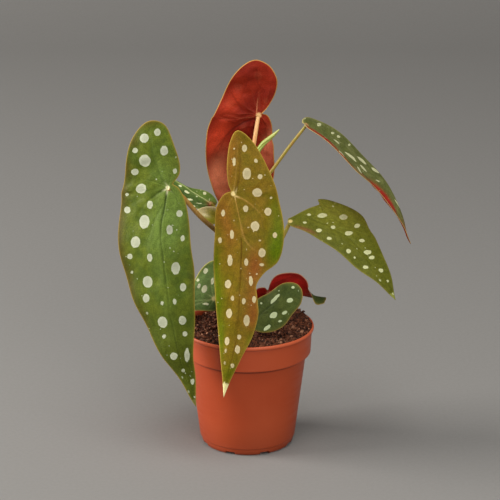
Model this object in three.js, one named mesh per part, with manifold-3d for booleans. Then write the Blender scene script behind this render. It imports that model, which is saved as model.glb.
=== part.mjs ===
import * as THREE from 'three';
import { mergeVertices } from 'three/addons/utils/BufferGeometryUtils.js';
import Module from 'manifold-3d';

// Potted polka dot begonia. Millimetres, +Z up.
// The origin is the middle of the pot's underside, with the viewer's side at -Y.

// Pot
const RIM_RADIUS = 60;
const POT_HEIGHT = 111;
const LIP_HEIGHT = 3;
const COLLAR_HEIGHT = 25;
const COLLAR_FOOT_RADIUS = 57.1;
const BODY_TOP_RADIUS = 53;
const BODY_FOOT_RADIUS = 43.1;
const FOOT_HEIGHT = 6;
const BASE_RADIUS = 41.4;
const WALL = 1.2;
const FLOOR = 1.6;
const NOTCH_COUNT = 8;
const NOTCH_WIDTH = 9;
const NOTCH_HEIGHT = 2.6;
const NOTCH_INNER_RADIUS = 33;
const POT_SIDES = 56;

// Soil
const SOIL_LEVEL = 109;
const SOIL_HEAP = 5;
const SOIL_DIP = 5;
const SOIL_CLUMP = 0.9;
const SOIL_SIDES = 40;

// Clearance between pieces that touch
const GAP = 0.3;

// Leaves
const BLADE = 0.9;
const BLADE_RINGS = [0.18, 0.45, 0.75, 1];
const STALK_SIDES = 7;
const STALK_STEPS = 10;
const CANE_SIDES = 10;

const wasm = await Module();
wasm.setup();

const material = (color, roughness) => new THREE.MeshStandardMaterial({ color, roughness, metalness: 0 });
const TERRACOTTA = material(0xb85536, 0.5);
const PEAT = material(0x3a2318, 0.95);
const CANE_SKIN = material(0x8a7a3a, 0.5);
const STALK_SKIN = material(0xb08a45, 0.5);
const GREEN_LEAF = material(0x4f6a2c, 0.45);
const OLIVE_LEAF = material(0x6d6a24, 0.45);
const BRONZE_LEAF = material(0x7a6428, 0.45);
const RED_LEAF = material(0x8f2a18, 0.5);
const BLUE_LEAF = material(0x3d5a3c, 0.45);
const STIPULE = material(0xa9b368, 0.6);
const SHOOT = material(0x8fbf45, 0.5);

// Helpers

// Smooth curve through rows of numbers, at t from 0 to rows.length - 1.
function smooth(rows, t) {
  const last = rows.length - 1;
  const at = Math.min(Math.max(t, 0), last);
  const i = Math.min(Math.floor(at), last - 1);
  const f = at - i;
  const row = (k) => {
    if (k < 0) return rows[0].map((v, c) => 2 * v - rows[1][c]);
    if (k > last) return rows[last].map((v, c) => 2 * v - rows[last - 1][c]);
    return rows[k];
  };
  const [a, b, c, d] = [row(i - 1), row(i), row(i + 1), row(i + 2)];
  return b.map((_, n) => 0.5 * (2 * b[n] + (c[n] - a[n]) * f
    + (2 * a[n] - 5 * b[n] + 4 * c[n] - d[n]) * f * f
    + (3 * b[n] - a[n] - 3 * c[n] + d[n]) * f * f * f));
}

const vec = (row) => new THREE.Vector3(...row);

function fromTriangles(points, triangles) {
  const geometry = new THREE.BufferGeometry();
  const values = points.flatMap((p) => [p.x, p.y, p.z]);
  geometry.setAttribute('position', new THREE.Float32BufferAttribute(values, 3));
  geometry.setIndex(triangles.flat());
  return geometry;
}

function solid(geometry) {
  const bare = geometry.clone();
  bare.deleteAttribute('normal');
  bare.deleteAttribute('uv');
  const merged = mergeVertices(bare, 1e-4);
  return new wasm.Manifold(new wasm.Mesh({
    numProp: 3,
    vertProperties: Float32Array.from(merged.attributes.position.array),
    triVerts: Uint32Array.from(merged.index.array),
  }));
}

function fromSolid(body) {
  const mesh = body.getMesh();
  const geometry = new THREE.BufferGeometry();
  geometry.setAttribute('position', new THREE.BufferAttribute(Float32Array.from(mesh.vertProperties), 3));
  geometry.setIndex(new THREE.BufferAttribute(Uint32Array.from(mesh.triVerts), 1));
  return geometry;
}

// The largest body of a cut, so that no loose scrap stays.
function main(body) {
  const bodies = body.decompose();
  bodies.sort((a, b) => b.volume() - a.volume());
  return bodies[0];
}

// Round rod along a smooth path, with a radius for each path point.
// Each path point is [x, y, z, radius].
function rod(path, sides, steps, extra = 0) {
  const rows = Array.from({ length: steps + 1 }, (_, i) => smooth(path, (i / steps) * (path.length - 1)));
  const centres = rows.map((r) => new THREE.Vector3(r[0], r[1], r[2]));
  const points = [];
  const triangles = [];
  let across = new THREE.Vector3(1, 0, 0);
  centres.forEach((centre, i) => {
    const ahead = centres[Math.min(i + 1, steps)].clone().sub(centres[Math.max(i - 1, 0)]).normalize();
    across = across.clone().addScaledVector(ahead, -across.dot(ahead)).normalize();
    const other = ahead.clone().cross(across);
    const from = centre.clone();
    if (i === 0) from.addScaledVector(ahead, -extra);
    if (i === steps) from.addScaledVector(ahead, extra);
    for (let k = 0; k < sides; k += 1) {
      const turn = (k / sides) * 2 * Math.PI;
      const radius = rows[i][3] + extra;
      points.push(from.clone()
        .addScaledVector(across, radius * Math.cos(turn))
        .addScaledVector(other, radius * Math.sin(turn)));
    }
  });
  for (let i = 0; i < steps; i += 1) {
    for (let k = 0; k < sides; k += 1) {
      const a = i * sides + k;
      const b = i * sides + ((k + 1) % sides);
      triangles.push([a, b, b + sides], [a, b + sides, a + sides]);
    }
  }
  for (let k = 1; k < sides - 1; k += 1) {
    const end = steps * sides;
    triangles.push([0, k + 1, k], [end, end + k, end + k + 1]);
  }
  return fromTriangles(points, triangles);
}

// Leaves

// A begonia blade is a lopsided wing. Its flat outline is given in millimetres from the stalk's seat:
// the first number runs along the midrib towards the tip, the second runs across it.
// wide: from the tip round the big lobe to the notch. narrow: from the notch back to the tip.
// midrib: the lobe's end, the stalk's seat, then points on to the tip.
// face: which way the upper side looks, along the midrib.
// fold: how many degrees the two halves rise (+) or droop (-), along the midrib, [negative, positive] side.
// curl: how many degrees more they turn for each 30 mm across, [negative, positive] side.
// wave: height of the margin's waves on each side, their length along the midrib, and where one crests.
// clasps: the cane that the scale sits on.
// core: the flat place that the rings close on, where that isn't the stalk's seat.
const LEAVES = {
  leaf_left_large: {
    skin: GREEN_LEAF,
    midrib: [[-84, -34, 309], [-69, -45, 253], [-74, -52, 208], [-69, -56, 158], [-60, -58, 104],
      [-45, -58, 54]],
    face: [[-0.25, -0.93, 0.25], [-0.3, -0.93, 0.2], [-0.3, -0.95, 0.05]],
    fold: [[-6, -6], [-10, -10], [-14, -12]],
    curl: [-8, -8],
    wave: [1.2, 1.6, 46, 10],
    wide: [[203, 0], [180, 6], [152, 18], [123, 30], [97, 39], [66, 45], [30, 47], [0, 46], [-28, 35],
      [-49, 21], [-60, 2], [-53, -12], [-30, -15], [-12, -13], [-3, -5]],
    narrow: [[-3, -5], [2, -11], [15, -18], [38, -24], [70, -26], [108, -22], [140, -16], [160, -11],
      [180, -7], [203, 0]],
    span: 12,
  },
  leaf_front_bronze: {
    skin: BRONZE_LEAF,
    midrib: [[-8, -30, 300], [-12, -42, 247], [-6, -52, 208], [-8, -64, 157], [-13, -70, 111],
      [-21, -72, 68]],
    face: [[0.05, -0.95, 0.25], [0.05, -0.95, 0.2], [0, -0.97, 0.1]],
    fold: [[-6, -8], [-8, -14], [-10, -16]],
    curl: [-6, -6],
    wave: [1.6, 1, 52, 40],
    wide: [[183, 0], [162, -4], [143, -9], [125, -16], [106, -19], [93, -17], [80, -15.3], [69, -22],
      [59, -34], [42, -39], [18, -40], [-5, -38], [-27, -28], [-46, -14], [-55, 0], [-45, 6], [-25, 7],
      [-10, 5], [-2, 2]],
    narrow: [[-2, 2], [1, 9], [12, 17], [31, 22], [58, 24], [90, 21], [120, 16], [147, 10], [168, 4],
      [183, 0]],
    span: 11,
  },
  leaf_top_red: {
    skin: RED_LEAF,
    midrib: [[9, 10, 352], [10, 20, 301], [3, 27, 278], [-5, 33, 251], [-17, 38, 195]],
    face: [[0.1, 0.93, 0.3], [0, 0.93, 0.35], [-0.2, 0.93, 0.3]],
    fold: [[-6, -6], [-8, -8], [-10, -8]],
    curl: [-6, -6],
    wave: [1.4, 1.2, 40, 20],
    wide: [[111, 0], [98, -10], [79, -23], [56, -34], [30, -41], [4, -41], [-20, -32], [-38, -23],
      [-49, -12], [-53, -1], [-48, 11], [-36, 17], [-22, 15], [-10, 9], [-2, 3]],
    narrow: [[-2, 3], [0, 9], [13, 16], [35, 25], [60, 31], [83, 28], [99, 16], [111, 0]],
    span: 11,
  },
  leaf_upper_right: {
    skin: GREEN_LEAF,
    midrib: [[45, 1, 303], [52, 0, 297.5], [66, -1, 289], [86, -2, 271.5], [106, -3, 251], [124, -4, 226],
      [138, -5, 208], [144, -5, 194]],
    face: [[0.4, -0.05, 0.9], [0.65, -0.05, 0.75], [0.72, -0.05, 0.7], [0.85, -0.05, 0.5]],
    fold: [[26, 6], [2, 4], [9, 4], [10, 10], [4, 8]],
    curl: [0, 2],
    wave: [2, 1, 73, 25],
    wide: [[146, 0], [136, -9], [120, -16], [98, -23], [70, -30], [42, -32], [18, -28], [3, -21], [-4, -12],
      [-5, -4], [-2, 2]],
    narrow: [[-2, 2], [1, 9], [12, 17], [32, 23], [58, 24], [80, 14], [100, 11], [118, 9], [136, 6],
      [146, 0]],
    span: 9,
  },
  leaf_right: {
    skin: OLIVE_LEAF,
    midrib: [[27, -2, 211], [38, -5, 210], [62, -12, 207], [87, -22, 197], [111, -34, 177],
      [131, -40, 149]],
    face: [[0.2, -0.5, 0.85], [0.3, -0.55, 0.78], [0.6, -0.55, 0.55]],
    fold: [[-2, -14], [-2, -16], [-2, -12]],
    curl: [-3, -5],
    wave: [1.2, 1, 44, 12],
    wide: [[123, 0], [109, -8], [95, -14], [80, -22], [68, -27], [60, -29], [50, -37], [38, -40], [25, -38],
      [16, -33], [18, -27], [12, -19], [4, -10], [-3, -3]],
    narrow: [[-3, -3], [0, 4], [14, 8], [34, 11], [58, 14], [84, 12], [106, 6], [123, 0]],
    core: [30, -10],
    span: 10,
  },
  leaf_low_right: {
    skin: BLUE_LEAF,
    midrib: [[-2, -26, 125], [2, -26, 126], [20, -30, 136], [37, -32, 145], [50, -34, 151]],
    face: [[0.25, -0.75, 0.6], [0.25, -0.75, 0.6], [0.35, -0.75, 0.5]],
    fold: [[-6, -6], [-8, -8], [-8, -8]],
    curl: [-5, -5],
    wave: [0.8, 0.8, 30, 10],
    wide: [[53, 1], [48, 7.5], [37, 13], [27, 18], [17, 19.3], [7, 16.5], [0, 11], [-3, 5], [-2, 0]],
    narrow: [[-2, 0], [3, -9], [13, -14], [26, -15], [40, -17], [50, -13], [54, -6], [53, 1]],
    span: 7,
  },
  leaf_low_left: {
    skin: BLUE_LEAF,
    midrib: [[-18, -12, 143], [-30, -13, 140], [-44, -15, 136], [-60, -18, 130], [-78, -22, 122]],
    face: [[-0.3, -0.95, 0.12], [-0.3, -0.95, 0.12], [-0.4, -0.9, 0.15]],
    fold: [[-6, -6], [-8, -8], [-8, -8]],
    curl: [-5, -5],
    wave: [1, 1, 34, 10],
    wide: [[52, 0], [40, 8], [25, 10], [13, 19], [4, 28], [-6, 33], [-16, 30], [-20, 18], [-16, 5],
      [-8, -2], [-1, -3]],
    narrow: [[-1, -3], [-3, -7], [1, -11], [9, -9], [20, -5], [36, -4], [52, 0]],
    span: 9,
  },
  leaf_behind_left: {
    skin: GREEN_LEAF,
    midrib: [[-27, 8, 218], [-32, 6, 223], [-42, 4, 230], [-54, 2, 239], [-70, -2, 250], [-86, -8, 259]],
    face: [[0.2, -0.6, 0.8], [0.2, -0.6, 0.8], [0.3, -0.5, 0.8], [0.3, -0.5, 0.8]],
    fold: [[-10, -4], [-12, -30], [-12, -75]],
    curl: [-5, -8],
    wave: [1, 1, 34, 10],
    wide: [[70, 0], [52, -9], [34, -14], [18, -14], [7, -11], [0, -7], [-3, -2]],
    narrow: [[-3, -2], [-6, 3], [-6, 8], [2, 12], [12, 11], [22, 7], [34, 5], [52, 4], [70, 0]],
    span: 9,
  },
  leaf_low_back_red: {
    skin: RED_LEAF,
    midrib: [[9, 6, 139], [19, 8, 139], [32, 12, 143], [44, 16, 142], [53, 17, 137], [60, 14, 133.5],
      [68, 9, 129]],
    face: [[0, 0.85, 0.5], [0, 0.85, 0.5], [0.2, 0.85, 0.4], [0.8, 0.25, 0.5], [0.45, -0.6, 0.65]],
    fold: [[-6, -6], [-8, -8], [-4, -4]],
    curl: [-5, -5],
    wave: [0.6, 0.6, 30, 10],
    wide: [[58, 0], [54, -9], [47, -12], [40, -13], [34, -15], [28, -16], [16, -14], [2, -14], [-8, -10],
      [-13, -2], [-11, 7], [-5, 9], [-1, 3]],
    narrow: [[-1, 3], [2, 12], [10, 20], [22, 20], [33, 13], [42, 6], [47, 7], [54, 7], [58, 0]],
    span: 8,
  },
  stipule: {
    skin: STIPULE,
    clasps: 'cane_side',
    midrib: [[-21, 3.5, 204], [-25, 1.5, 208.5], [-30, -1, 212.5], [-37, -4, 216.5], [-46, -6, 220.5]],
    face: [[-0.25, -0.85, 0.45], [-0.25, -0.85, 0.45]],
    fold: [[14, 20], [14, 20]],
    curl: [8, 12],
    wave: [0.2, 0.2, 20, 0],
    wide: [[25, 0], [18, -4], [11, -7], [4, -6], [-1, 0]],
    narrow: [[-1, 0], [2, 6.5], [7, 9.5], [13, 8.5], [20, 5], [25, 0]],
    core: [8, 0],
    span: 5,
  },
};

// The blade's middle surface: a point for flat place [a, b], at share rho of the way to the margin.
function bladeSurface(leaf) {
  const count = 240;
  const last = leaf.midrib.length - 1;
  const along = [];
  let total = 0;
  for (let i = 0; i <= count; i += 1) {
    const p = vec(smooth(leaf.midrib, (i / count) * last));
    if (i) total += p.distanceTo(along[i - 1].p);
    along.push({ p, total });
  }
  const seat = along[Math.round(count / last)].total;
  const lookup = (a) => {
    const want = a + seat;
    let i = along.findIndex((entry) => entry.total > want);
    if (i === -1) i = count;
    i = Math.min(Math.max(i, 1), count);
    const [low, high] = [along[i - 1], along[i]];
    const f = Math.min(Math.max((want - low.total) / (high.total - low.total), 0), 1);
    return ((i - 1 + f) / count) * last;
  };
  const spread = (rows, t) => smooth(rows, (t / last) * (rows.length - 1));
  return (a, b, rho) => {
    const t = lookup(a);
    const reach = a - (Math.min(Math.max(a + seat, 0), total) - seat);
    const here = vec(smooth(leaf.midrib, t));
    const tangent = vec(smooth(leaf.midrib, Math.min(t + 0.001, last)))
      .sub(vec(smooth(leaf.midrib, Math.max(t - 0.001, 0)))).normalize();
    here.addScaledVector(tangent, reach);
    const normal = vec(spread(leaf.face, t));
    normal.addScaledVector(tangent, -normal.dot(tangent)).normalize();
    const side = tangent.clone().cross(normal);
    const k = b > 0 ? 1 : 0;
    const tilt = THREE.MathUtils.degToRad(spread(leaf.fold, t)[k]);
    const bend = THREE.MathUtils.degToRad(leaf.curl[k] + 0.001) / 30;
    const w = Math.abs(b);
    const lateral = (Math.sin(tilt + bend * w) - Math.sin(tilt)) / bend;
    const [low, high, length, crest] = leaf.wave;
    const ripple = (k ? high : low) * rho ** 2 * Math.cos(((a - crest) / length) * 2 * Math.PI);
    const height = (Math.cos(tilt) - Math.cos(tilt + bend * w)) / bend + ripple;
    return here.addScaledVector(side, Math.sign(b) * lateral).addScaledVector(normal, height);
  };
}

// Flat margin of a blade, from the tip round to the tip again. Every listed point is kept,
// and longer stretches between them are split about every `span` millimetres.
function margin(leaf) {
  const walk = (rows) => rows.slice(0, -1).flatMap((row, i) => {
    const length = Math.hypot(rows[i + 1][0] - row[0], rows[i + 1][1] - row[1]);
    const parts = Math.max(1, Math.round(length / leaf.span));
    return Array.from({ length: parts }, (_, k) => smooth(rows, i + k / parts));
  });
  return [...walk(leaf.wide), ...walk(leaf.narrow)];
}

// Closed blade of even thickness. Rings shrink faster across the midrib than along it, as the side
// veins run.
function blade(leaf, extra = 0) {
  const surface = bladeSurface(leaf);
  const edge = margin(leaf);
  const n = edge.length;
  const heart = leaf.core ?? [0, 0];
  const middle = [surface(...heart, 0)];
  const normals = [];
  const place = (k, rho) => {
    const [a, b] = edge[k];
    const [u, v] = [a - heart[0], b - heart[1]];
    const grow = 1 + extra / Math.max(Math.hypot(u, v), 3);
    return surface(heart[0] + u * rho ** 0.62 * grow, heart[1] + v * rho * grow, rho);
  };
  BLADE_RINGS.forEach((rho) => {
    for (let k = 0; k < n; k += 1) middle.push(place(k, rho));
  });
  const faces = [];
  for (let k = 0; k < n; k += 1) faces.push([0, 1 + k, 1 + ((k + 1) % n)]);
  for (let r = 0; r < BLADE_RINGS.length - 1; r += 1) {
    for (let k = 0; k < n; k += 1) {
      const a = 1 + r * n + k;
      const b = 1 + r * n + ((k + 1) % n);
      faces.push([a, a + n, b + n], [a, b + n, b]);
    }
  }
  middle.forEach(() => normals.push(new THREE.Vector3()));
  faces.forEach(([i, j, k]) => {
    const face = middle[j].clone().sub(middle[i]).cross(middle[k].clone().sub(middle[i]));
    [i, j, k].forEach((m) => normals[m].add(face));
  });
  normals.forEach((v) => v.normalize());
  const half = BLADE / 2 + extra;
  const top = middle.map((p, i) => p.clone().addScaledVector(normals[i], half));
  const under = middle.map((p, i) => p.clone().addScaledVector(normals[i], -half));
  const count = middle.length;
  const triangles = [...faces, ...faces.map(([i, j, k]) => [i + count, k + count, j + count])];
  const first = 1 + (BLADE_RINGS.length - 1) * n;
  for (let k = 0; k < n; k += 1) {
    const a = first + k;
    const b = first + ((k + 1) % n);
    triangles.push([a, a + count, b + count], [a, b + count, b]);
  }
  return fromTriangles([...top, ...under], triangles);
}

// Stems

// Jointed upright stems. They swell at each joint, where a leaf stalk grows.
// Each row is [x, y, z, radius].
const CANES = {
  cane_main: [[-9, 8, 84, 3.6], [-9, 8, 98, 3.6], [-8, 8, 122, 4.2], [-7, 9, 138, 3.4], [-5, 9, 158, 4],
    [-4, 9, 170, 3.2], [-3, 9, 186, 3.6], [-2, 9, 198, 2.9], [-1, 9, 214, 3.4], [0, 9, 224, 2.7],
    [1, 9, 238, 2.9], [2, 8.5, 248, 2.4], [4, 8, 256, 1.6]],
  cane_side: [[-19, 5, 86, 3], [-19, 5, 104, 3], [-20, 5, 126, 3.7], [-21, 5, 142, 2.9], [-22, 5, 166, 3.4],
    [-23, 5, 180, 2.7], [-23, 5, 194, 3.2], [-23, 5, 204, 2.4], [-23, 5, 212, 2.4], [-23, 5, 216, 1.4]],
};

// Leaf stalks: the blade that each one carries, the cane it grows from, and its path of
// [x, y, z, radius] from the cane to the blade's seat.
const STALKS = {
  stalk_left_large: ['leaf_left_large', 'cane_side', [[-23, 5, 194, 2.3], [-29, -4, 202, 2.2],
    [-42, -24, 221, 2.1], [-57, -37, 243, 2], [-69, -45, 253, 1.8]]],
  stalk_front_bronze: ['leaf_front_bronze', 'cane_main', [[-1, 8, 214, 2.2], [-3, -6, 230, 2],
    [-7, -26, 243, 1.9], [-12, -42.5, 247.3, 1.7]]],
  stalk_top_red: ['leaf_top_red', 'cane_main', [[1, 9, 238, 2.2], [2.5, 13, 250, 2.1], [4, 14, 264, 2],
    [6, 14, 277, 1.8], [8, 16, 290, 1.8], [10, 20.5, 301.5, 1.6]]],
  stalk_upper_right: ['leaf_upper_right', 'cane_main', [[0, 9, 226, 2], [10, 9, 237, 1.8],
    [21, 8, 252, 1.6], [37, 4, 276, 1.5], [48, 1, 291.5, 1.4], [52.2, 0.3, 297.3, 1.2]]],
  stalk_right: ['leaf_right', 'cane_main', [[-4, 8, 158, 2.2], [9, 5, 164, 2], [22, 1, 176, 1.9],
    [31, -3, 194, 1.9], [38, -5, 209.6, 1.7]]],
  stalk_low_right: ['leaf_low_right', 'cane_main', [[-8, 6, 124, 2], [-5, -8, 129, 1.8], [0, -20, 128, 1.7],
    [2.5, -26.5, 126.5, 1.5]]],
  stalk_low_left: ['leaf_low_left', 'cane_side', [[-20, 5, 127, 2], [-26, -3, 134, 1.8],
    [-30, -13, 140, 1.5]]],
  stalk_behind_left: ['leaf_behind_left', 'cane_side', [[-23, 5, 210, 1.8], [-27, 7, 216, 1.6],
    [-32.5, 5.6, 223.5, 1.4]]],
  stalk_low_back_red: ['leaf_low_back_red', 'cane_main', [[-7, 9, 134, 2], [2, 10, 138, 1.8],
    [11, 9, 139, 1.7], [20, 8, 139.5, 1.5]]],
};

// Growing tip: a rolled young leaf in its green sheath.
const BUD = [[4, 8, 256, 1.8], [8.5, 8, 269, 2], [13.5, 8, 277, 2.1], [17.5, 7, 281.2, 1.9],
  [23, 5, 286.4, 1.5], [28, 2, 292.3, 0.5]];

// Pot and soil

function potProfile() {
  const slope = (BODY_TOP_RADIUS - BODY_FOOT_RADIUS) / (POT_HEIGHT - COLLAR_HEIGHT - FOOT_HEIGHT);
  const step = POT_HEIGHT - COLLAR_HEIGHT;
  const inside = (z) => BODY_FOOT_RADIUS - WALL + slope * (z - FOOT_HEIGHT);
  const rows = [
    [0, 0], [BASE_RADIUS - 2.4, 0], [BASE_RADIUS - 0.7, 0.7], [BASE_RADIUS, 2.4],
    [BASE_RADIUS + 0.6, FOOT_HEIGHT],
    [BODY_FOOT_RADIUS, FOOT_HEIGHT + 0.7], [BODY_TOP_RADIUS, step - 0.6], [COLLAR_FOOT_RADIUS - 0.8, step],
    [COLLAR_FOOT_RADIUS, step + 0.8], [RIM_RADIUS - 1.2, POT_HEIGHT - LIP_HEIGHT - 1],
    [RIM_RADIUS - 0.3, POT_HEIGHT - LIP_HEIGHT], [RIM_RADIUS, POT_HEIGHT - LIP_HEIGHT / 2],
    [RIM_RADIUS - 0.4, POT_HEIGHT - 0.3], [RIM_RADIUS - 1.1, POT_HEIGHT],
    [RIM_RADIUS - 1.9, POT_HEIGHT - 0.5],
    [COLLAR_FOOT_RADIUS - WALL, step + 2], [inside(step), step - 1], [inside(FOOT_HEIGHT), FOOT_HEIGHT],
    [BASE_RADIUS - WALL - 0.6, FLOOR + 0.8], [BASE_RADIUS - WALL - 2, FLOOR], [0, FLOOR],
  ];
  return rows.map(([r, z]) => new THREE.Vector2(r, z));
}

// Drain notches: slots cut up into the bottom edge, open to the outside.
function pot() {
  let cup = solid(new THREE.LatheGeometry(potProfile(), POT_SIDES).rotateX(Math.PI / 2));
  for (let i = 0; i < NOTCH_COUNT; i += 1) {
    const length = BASE_RADIUS + 4 - NOTCH_INNER_RADIUS;
    const slot = new THREE.BoxGeometry(length, NOTCH_WIDTH, NOTCH_HEIGHT * 2);
    slot.translate(NOTCH_INNER_RADIUS + length / 2, 0, 0);
    slot.rotateZ(((i + 0.5) / NOTCH_COUNT) * 2 * Math.PI);
    cup = cup.subtract(solid(slot));
  }
  return cup;
}

// Height of the soil at a place: heaped at the back right, sunken at the back left, clumpy all over.
function soilTop(x, y) {
  const heap = SOIL_HEAP * Math.exp(-((x - 34) ** 2 + (y - 22) ** 2) / 700);
  const dip = SOIL_DIP * Math.exp(-((x + 46) ** 2 + (y - 22) ** 2) / 500);
  const coarse = Math.sin(x * 0.37 - y * 0.52 + 2.1);
  const clump = Math.sin(x * 0.83 + 1.3) * Math.sin(y * 0.71 - 0.4) + 0.6 * coarse;
  return SOIL_LEVEL + heap - dip + SOIL_CLUMP * clump;
}

function soil() {
  const step = POT_HEIGHT - COLLAR_HEIGHT;
  const slope = (BODY_TOP_RADIUS - BODY_FOOT_RADIUS) / (step - FOOT_HEIGHT);
  const wall = (z) => {
    const body = BODY_FOOT_RADIUS - WALL + slope * (z - FOOT_HEIGHT);
    const collar = COLLAR_FOOT_RADIUS - WALL + (z - step - 2) * 0.09;
    return (z > step + 2 ? collar : Math.min(body, BODY_TOP_RADIUS - WALL)) - GAP - 0.2;
  };
  const levels = [FLOOR + GAP, FOOT_HEIGHT + 1, step - 1, step + 2.8, SOIL_LEVEL - 8];
  const radii = [
    BASE_RADIUS - WALL - 3, wall(FOOT_HEIGHT), wall(step - 1), wall(step + 2.8), wall(SOIL_LEVEL - 8),
  ];
  const points = [];
  const triangles = [];
  const ring = (radius, height) => {
    for (let k = 0; k < SOIL_SIDES; k += 1) {
      const turn = (k / SOIL_SIDES) * 2 * Math.PI;
      const [x, y] = [radius * Math.cos(turn), radius * Math.sin(turn)];
      points.push(new THREE.Vector3(x, y, height(x, y)));
    }
  };
  points.push(new THREE.Vector3(0, 0, levels[0]));
  levels.forEach((z, i) => ring(radii[i], () => z));
  const rim = wall(SOIL_LEVEL) - 0.4;
  ring(rim, (x, y) => soilTop(x, y) - 1.5);
  [rim - 1.6, 50, 42, 33, 23, 12].forEach((radius) => ring(radius, soilTop));
  points.push(new THREE.Vector3(0, 0, soilTop(0, 0)));
  const rings = (points.length - 2) / SOIL_SIDES;
  for (let k = 0; k < SOIL_SIDES; k += 1) {
    const next = (k + 1) % SOIL_SIDES;
    triangles.push([0, 1 + next, 1 + k]);
    for (let r = 0; r < rings - 1; r += 1) {
      const a = 1 + r * SOIL_SIDES + k;
      const b = 1 + r * SOIL_SIDES + next;
      triangles.push([a, b, b + SOIL_SIDES], [a, b + SOIL_SIDES, a + SOIL_SIDES]);
    }
    const top = 1 + (rings - 1) * SOIL_SIDES;
    triangles.push([top + k, top + next, points.length - 1]);
  }
  return solid(fromTriangles(points, triangles));
}

// Assembly

const plant = new THREE.Group();

function add(name, geometry, skin) {
  const mesh = new THREE.Mesh(geometry, skin);
  mesh.name = name;
  plant.add(mesh);
}

const rooms = {};
Object.entries(CANES).forEach(([name, path]) => {
  rooms[name] = solid(rod(path, CANE_SIDES, 3 * (path.length - 1), GAP));
});

add('pot', fromSolid(pot()), TERRACOTTA);
add('soil', fromSolid(main(soil().subtract(rooms.cane_main).subtract(rooms.cane_side))), PEAT);

Object.entries(CANES).forEach(([name, path]) => {
  add(name, rod(path, CANE_SIDES, 3 * (path.length - 1)), CANE_SKIN);
});

Object.entries(LEAVES).forEach(([name, leaf]) => {
  if (!leaf.clasps) {
    add(name, blade(leaf), leaf.skin);
    return;
  }
  add(name, fromSolid(main(solid(blade(leaf)).subtract(rooms[leaf.clasps]))), leaf.skin);
});

Object.entries(STALKS).forEach(([name, [leaf, cane, path]]) => {
  const room = solid(blade(LEAVES[leaf], GAP));
  const stalk = solid(rod(path, STALK_SIDES, STALK_STEPS)).subtract(rooms[cane]).subtract(room);
  add(name, fromSolid(main(stalk)), STALK_SKIN);
});

const shoot = solid(rod(BUD, STALK_SIDES, STALK_STEPS)).subtract(rooms.cane_main);
add('growing_tip', fromSolid(main(shoot)), SHOOT);

export default plant;
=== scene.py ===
# %% [markdown]
# # Potted polka dot begonia
#
# The plant stands in a 12 cm nursery pot. The solid model that is loaded here has the right form and
# place for every part, but it is plain. This script keeps each form and gives it its real surface:
# leaves with veins, cream dots and red undersides, jointed canes, crumbly peat and moulded plastic.
# All sizes below are millimetres, unless a line says metres; meshes are written in metres.

import bpy
import numpy as np
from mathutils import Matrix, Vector


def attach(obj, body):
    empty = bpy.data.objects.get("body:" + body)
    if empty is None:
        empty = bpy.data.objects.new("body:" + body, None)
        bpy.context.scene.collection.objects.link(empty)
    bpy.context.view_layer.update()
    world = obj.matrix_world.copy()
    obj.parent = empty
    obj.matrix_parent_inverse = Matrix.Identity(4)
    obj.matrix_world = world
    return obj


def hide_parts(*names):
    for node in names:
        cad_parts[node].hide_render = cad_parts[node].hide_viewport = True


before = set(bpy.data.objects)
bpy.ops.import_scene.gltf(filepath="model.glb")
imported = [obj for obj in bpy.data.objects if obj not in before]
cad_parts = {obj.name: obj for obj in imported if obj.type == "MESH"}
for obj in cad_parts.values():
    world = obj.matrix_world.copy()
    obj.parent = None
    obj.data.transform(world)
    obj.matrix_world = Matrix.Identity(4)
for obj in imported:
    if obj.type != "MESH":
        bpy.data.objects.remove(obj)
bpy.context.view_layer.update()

# %% [markdown]
# ## Camera
#
# The camera looks slightly down on the pot, from two metres away with a long lens, so the rim shows
# as a flat ellipse and the upright lines hardly converge.

# %% Camera
LOOKS_DOWN = 18.5  # degrees
camera = bpy.data.objects.new("camera", bpy.data.cameras.new("camera"))
bpy.context.scene.collection.objects.link(camera)
camera.location = (0.0023, -2.019, 0.857)
camera.rotation_euler = (np.radians(90 - LOOKS_DOWN), 0, 0)
camera.data.lens = 171.9
camera.data.sensor_width = 36
camera.data.clip_end = 30
bpy.context.scene.camera = camera
print("camera at", tuple(camera.location), "metres, looking", LOOKS_DOWN, "degrees down")

# %% [markdown]
# ## Helpers for meshes
#
# Each shape is a grid of points worked out with numpy, so one helper turns any grid into a mesh. It
# also stores named numbers on the points, such as the distance to a vein. Materials read them later.


# %% From points to a piece
def mesh_piece(name, points, quads, triangles=(), flat=None, numbers=None, under=None):
    """Makes a smooth mesh piece from points in mm.

    flat gives a UV place for each point, numbers named values for each point, and under marks
    the faces that take the second material.
    """
    mesh = bpy.data.meshes.new(name)
    faces = np.asarray(quads).tolist() + np.asarray(triangles).tolist()
    mesh.from_pydata((np.asarray(points) * 0.001).tolist(), [], faces)
    mesh.polygons.foreach_set("use_smooth", np.ones(len(faces), dtype=bool))
    if under is not None:
        mesh.polygons.foreach_set("material_index", np.asarray(under, dtype=np.int32))
    if flat is not None:
        corner = np.empty(len(mesh.loops), dtype=np.int32)
        mesh.loops.foreach_get("vertex_index", corner)
        layer = mesh.uv_layers.new(name="flat")
        layer.data.foreach_set("uv", np.asarray(flat, dtype=np.float32)[corner].ravel())
    for key, values in (numbers or {}).items():
        store = mesh.attributes.new(key, "FLOAT", "POINT")
        store.data.foreach_set("value", np.asarray(values, dtype=np.float32))
    mesh.update()
    piece = bpy.data.objects.new(name, mesh)
    bpy.context.scene.collection.objects.link(piece)
    print(name, "has", 2 * len(quads) + len(triangles), "triangles")
    return piece


def grid_faces(rows, columns, closed=True):
    """Quads of a grid of rows x columns points; closed joins the last column to the first."""
    r, c = np.meshgrid(np.arange(rows - 1), np.arange(columns if closed else columns - 1), indexing="ij")
    a = (r * columns + c).ravel()
    b = (r * columns + (c + 1) % columns).ravel()
    return np.stack([a, b, b + columns, a + columns], 1)


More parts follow.
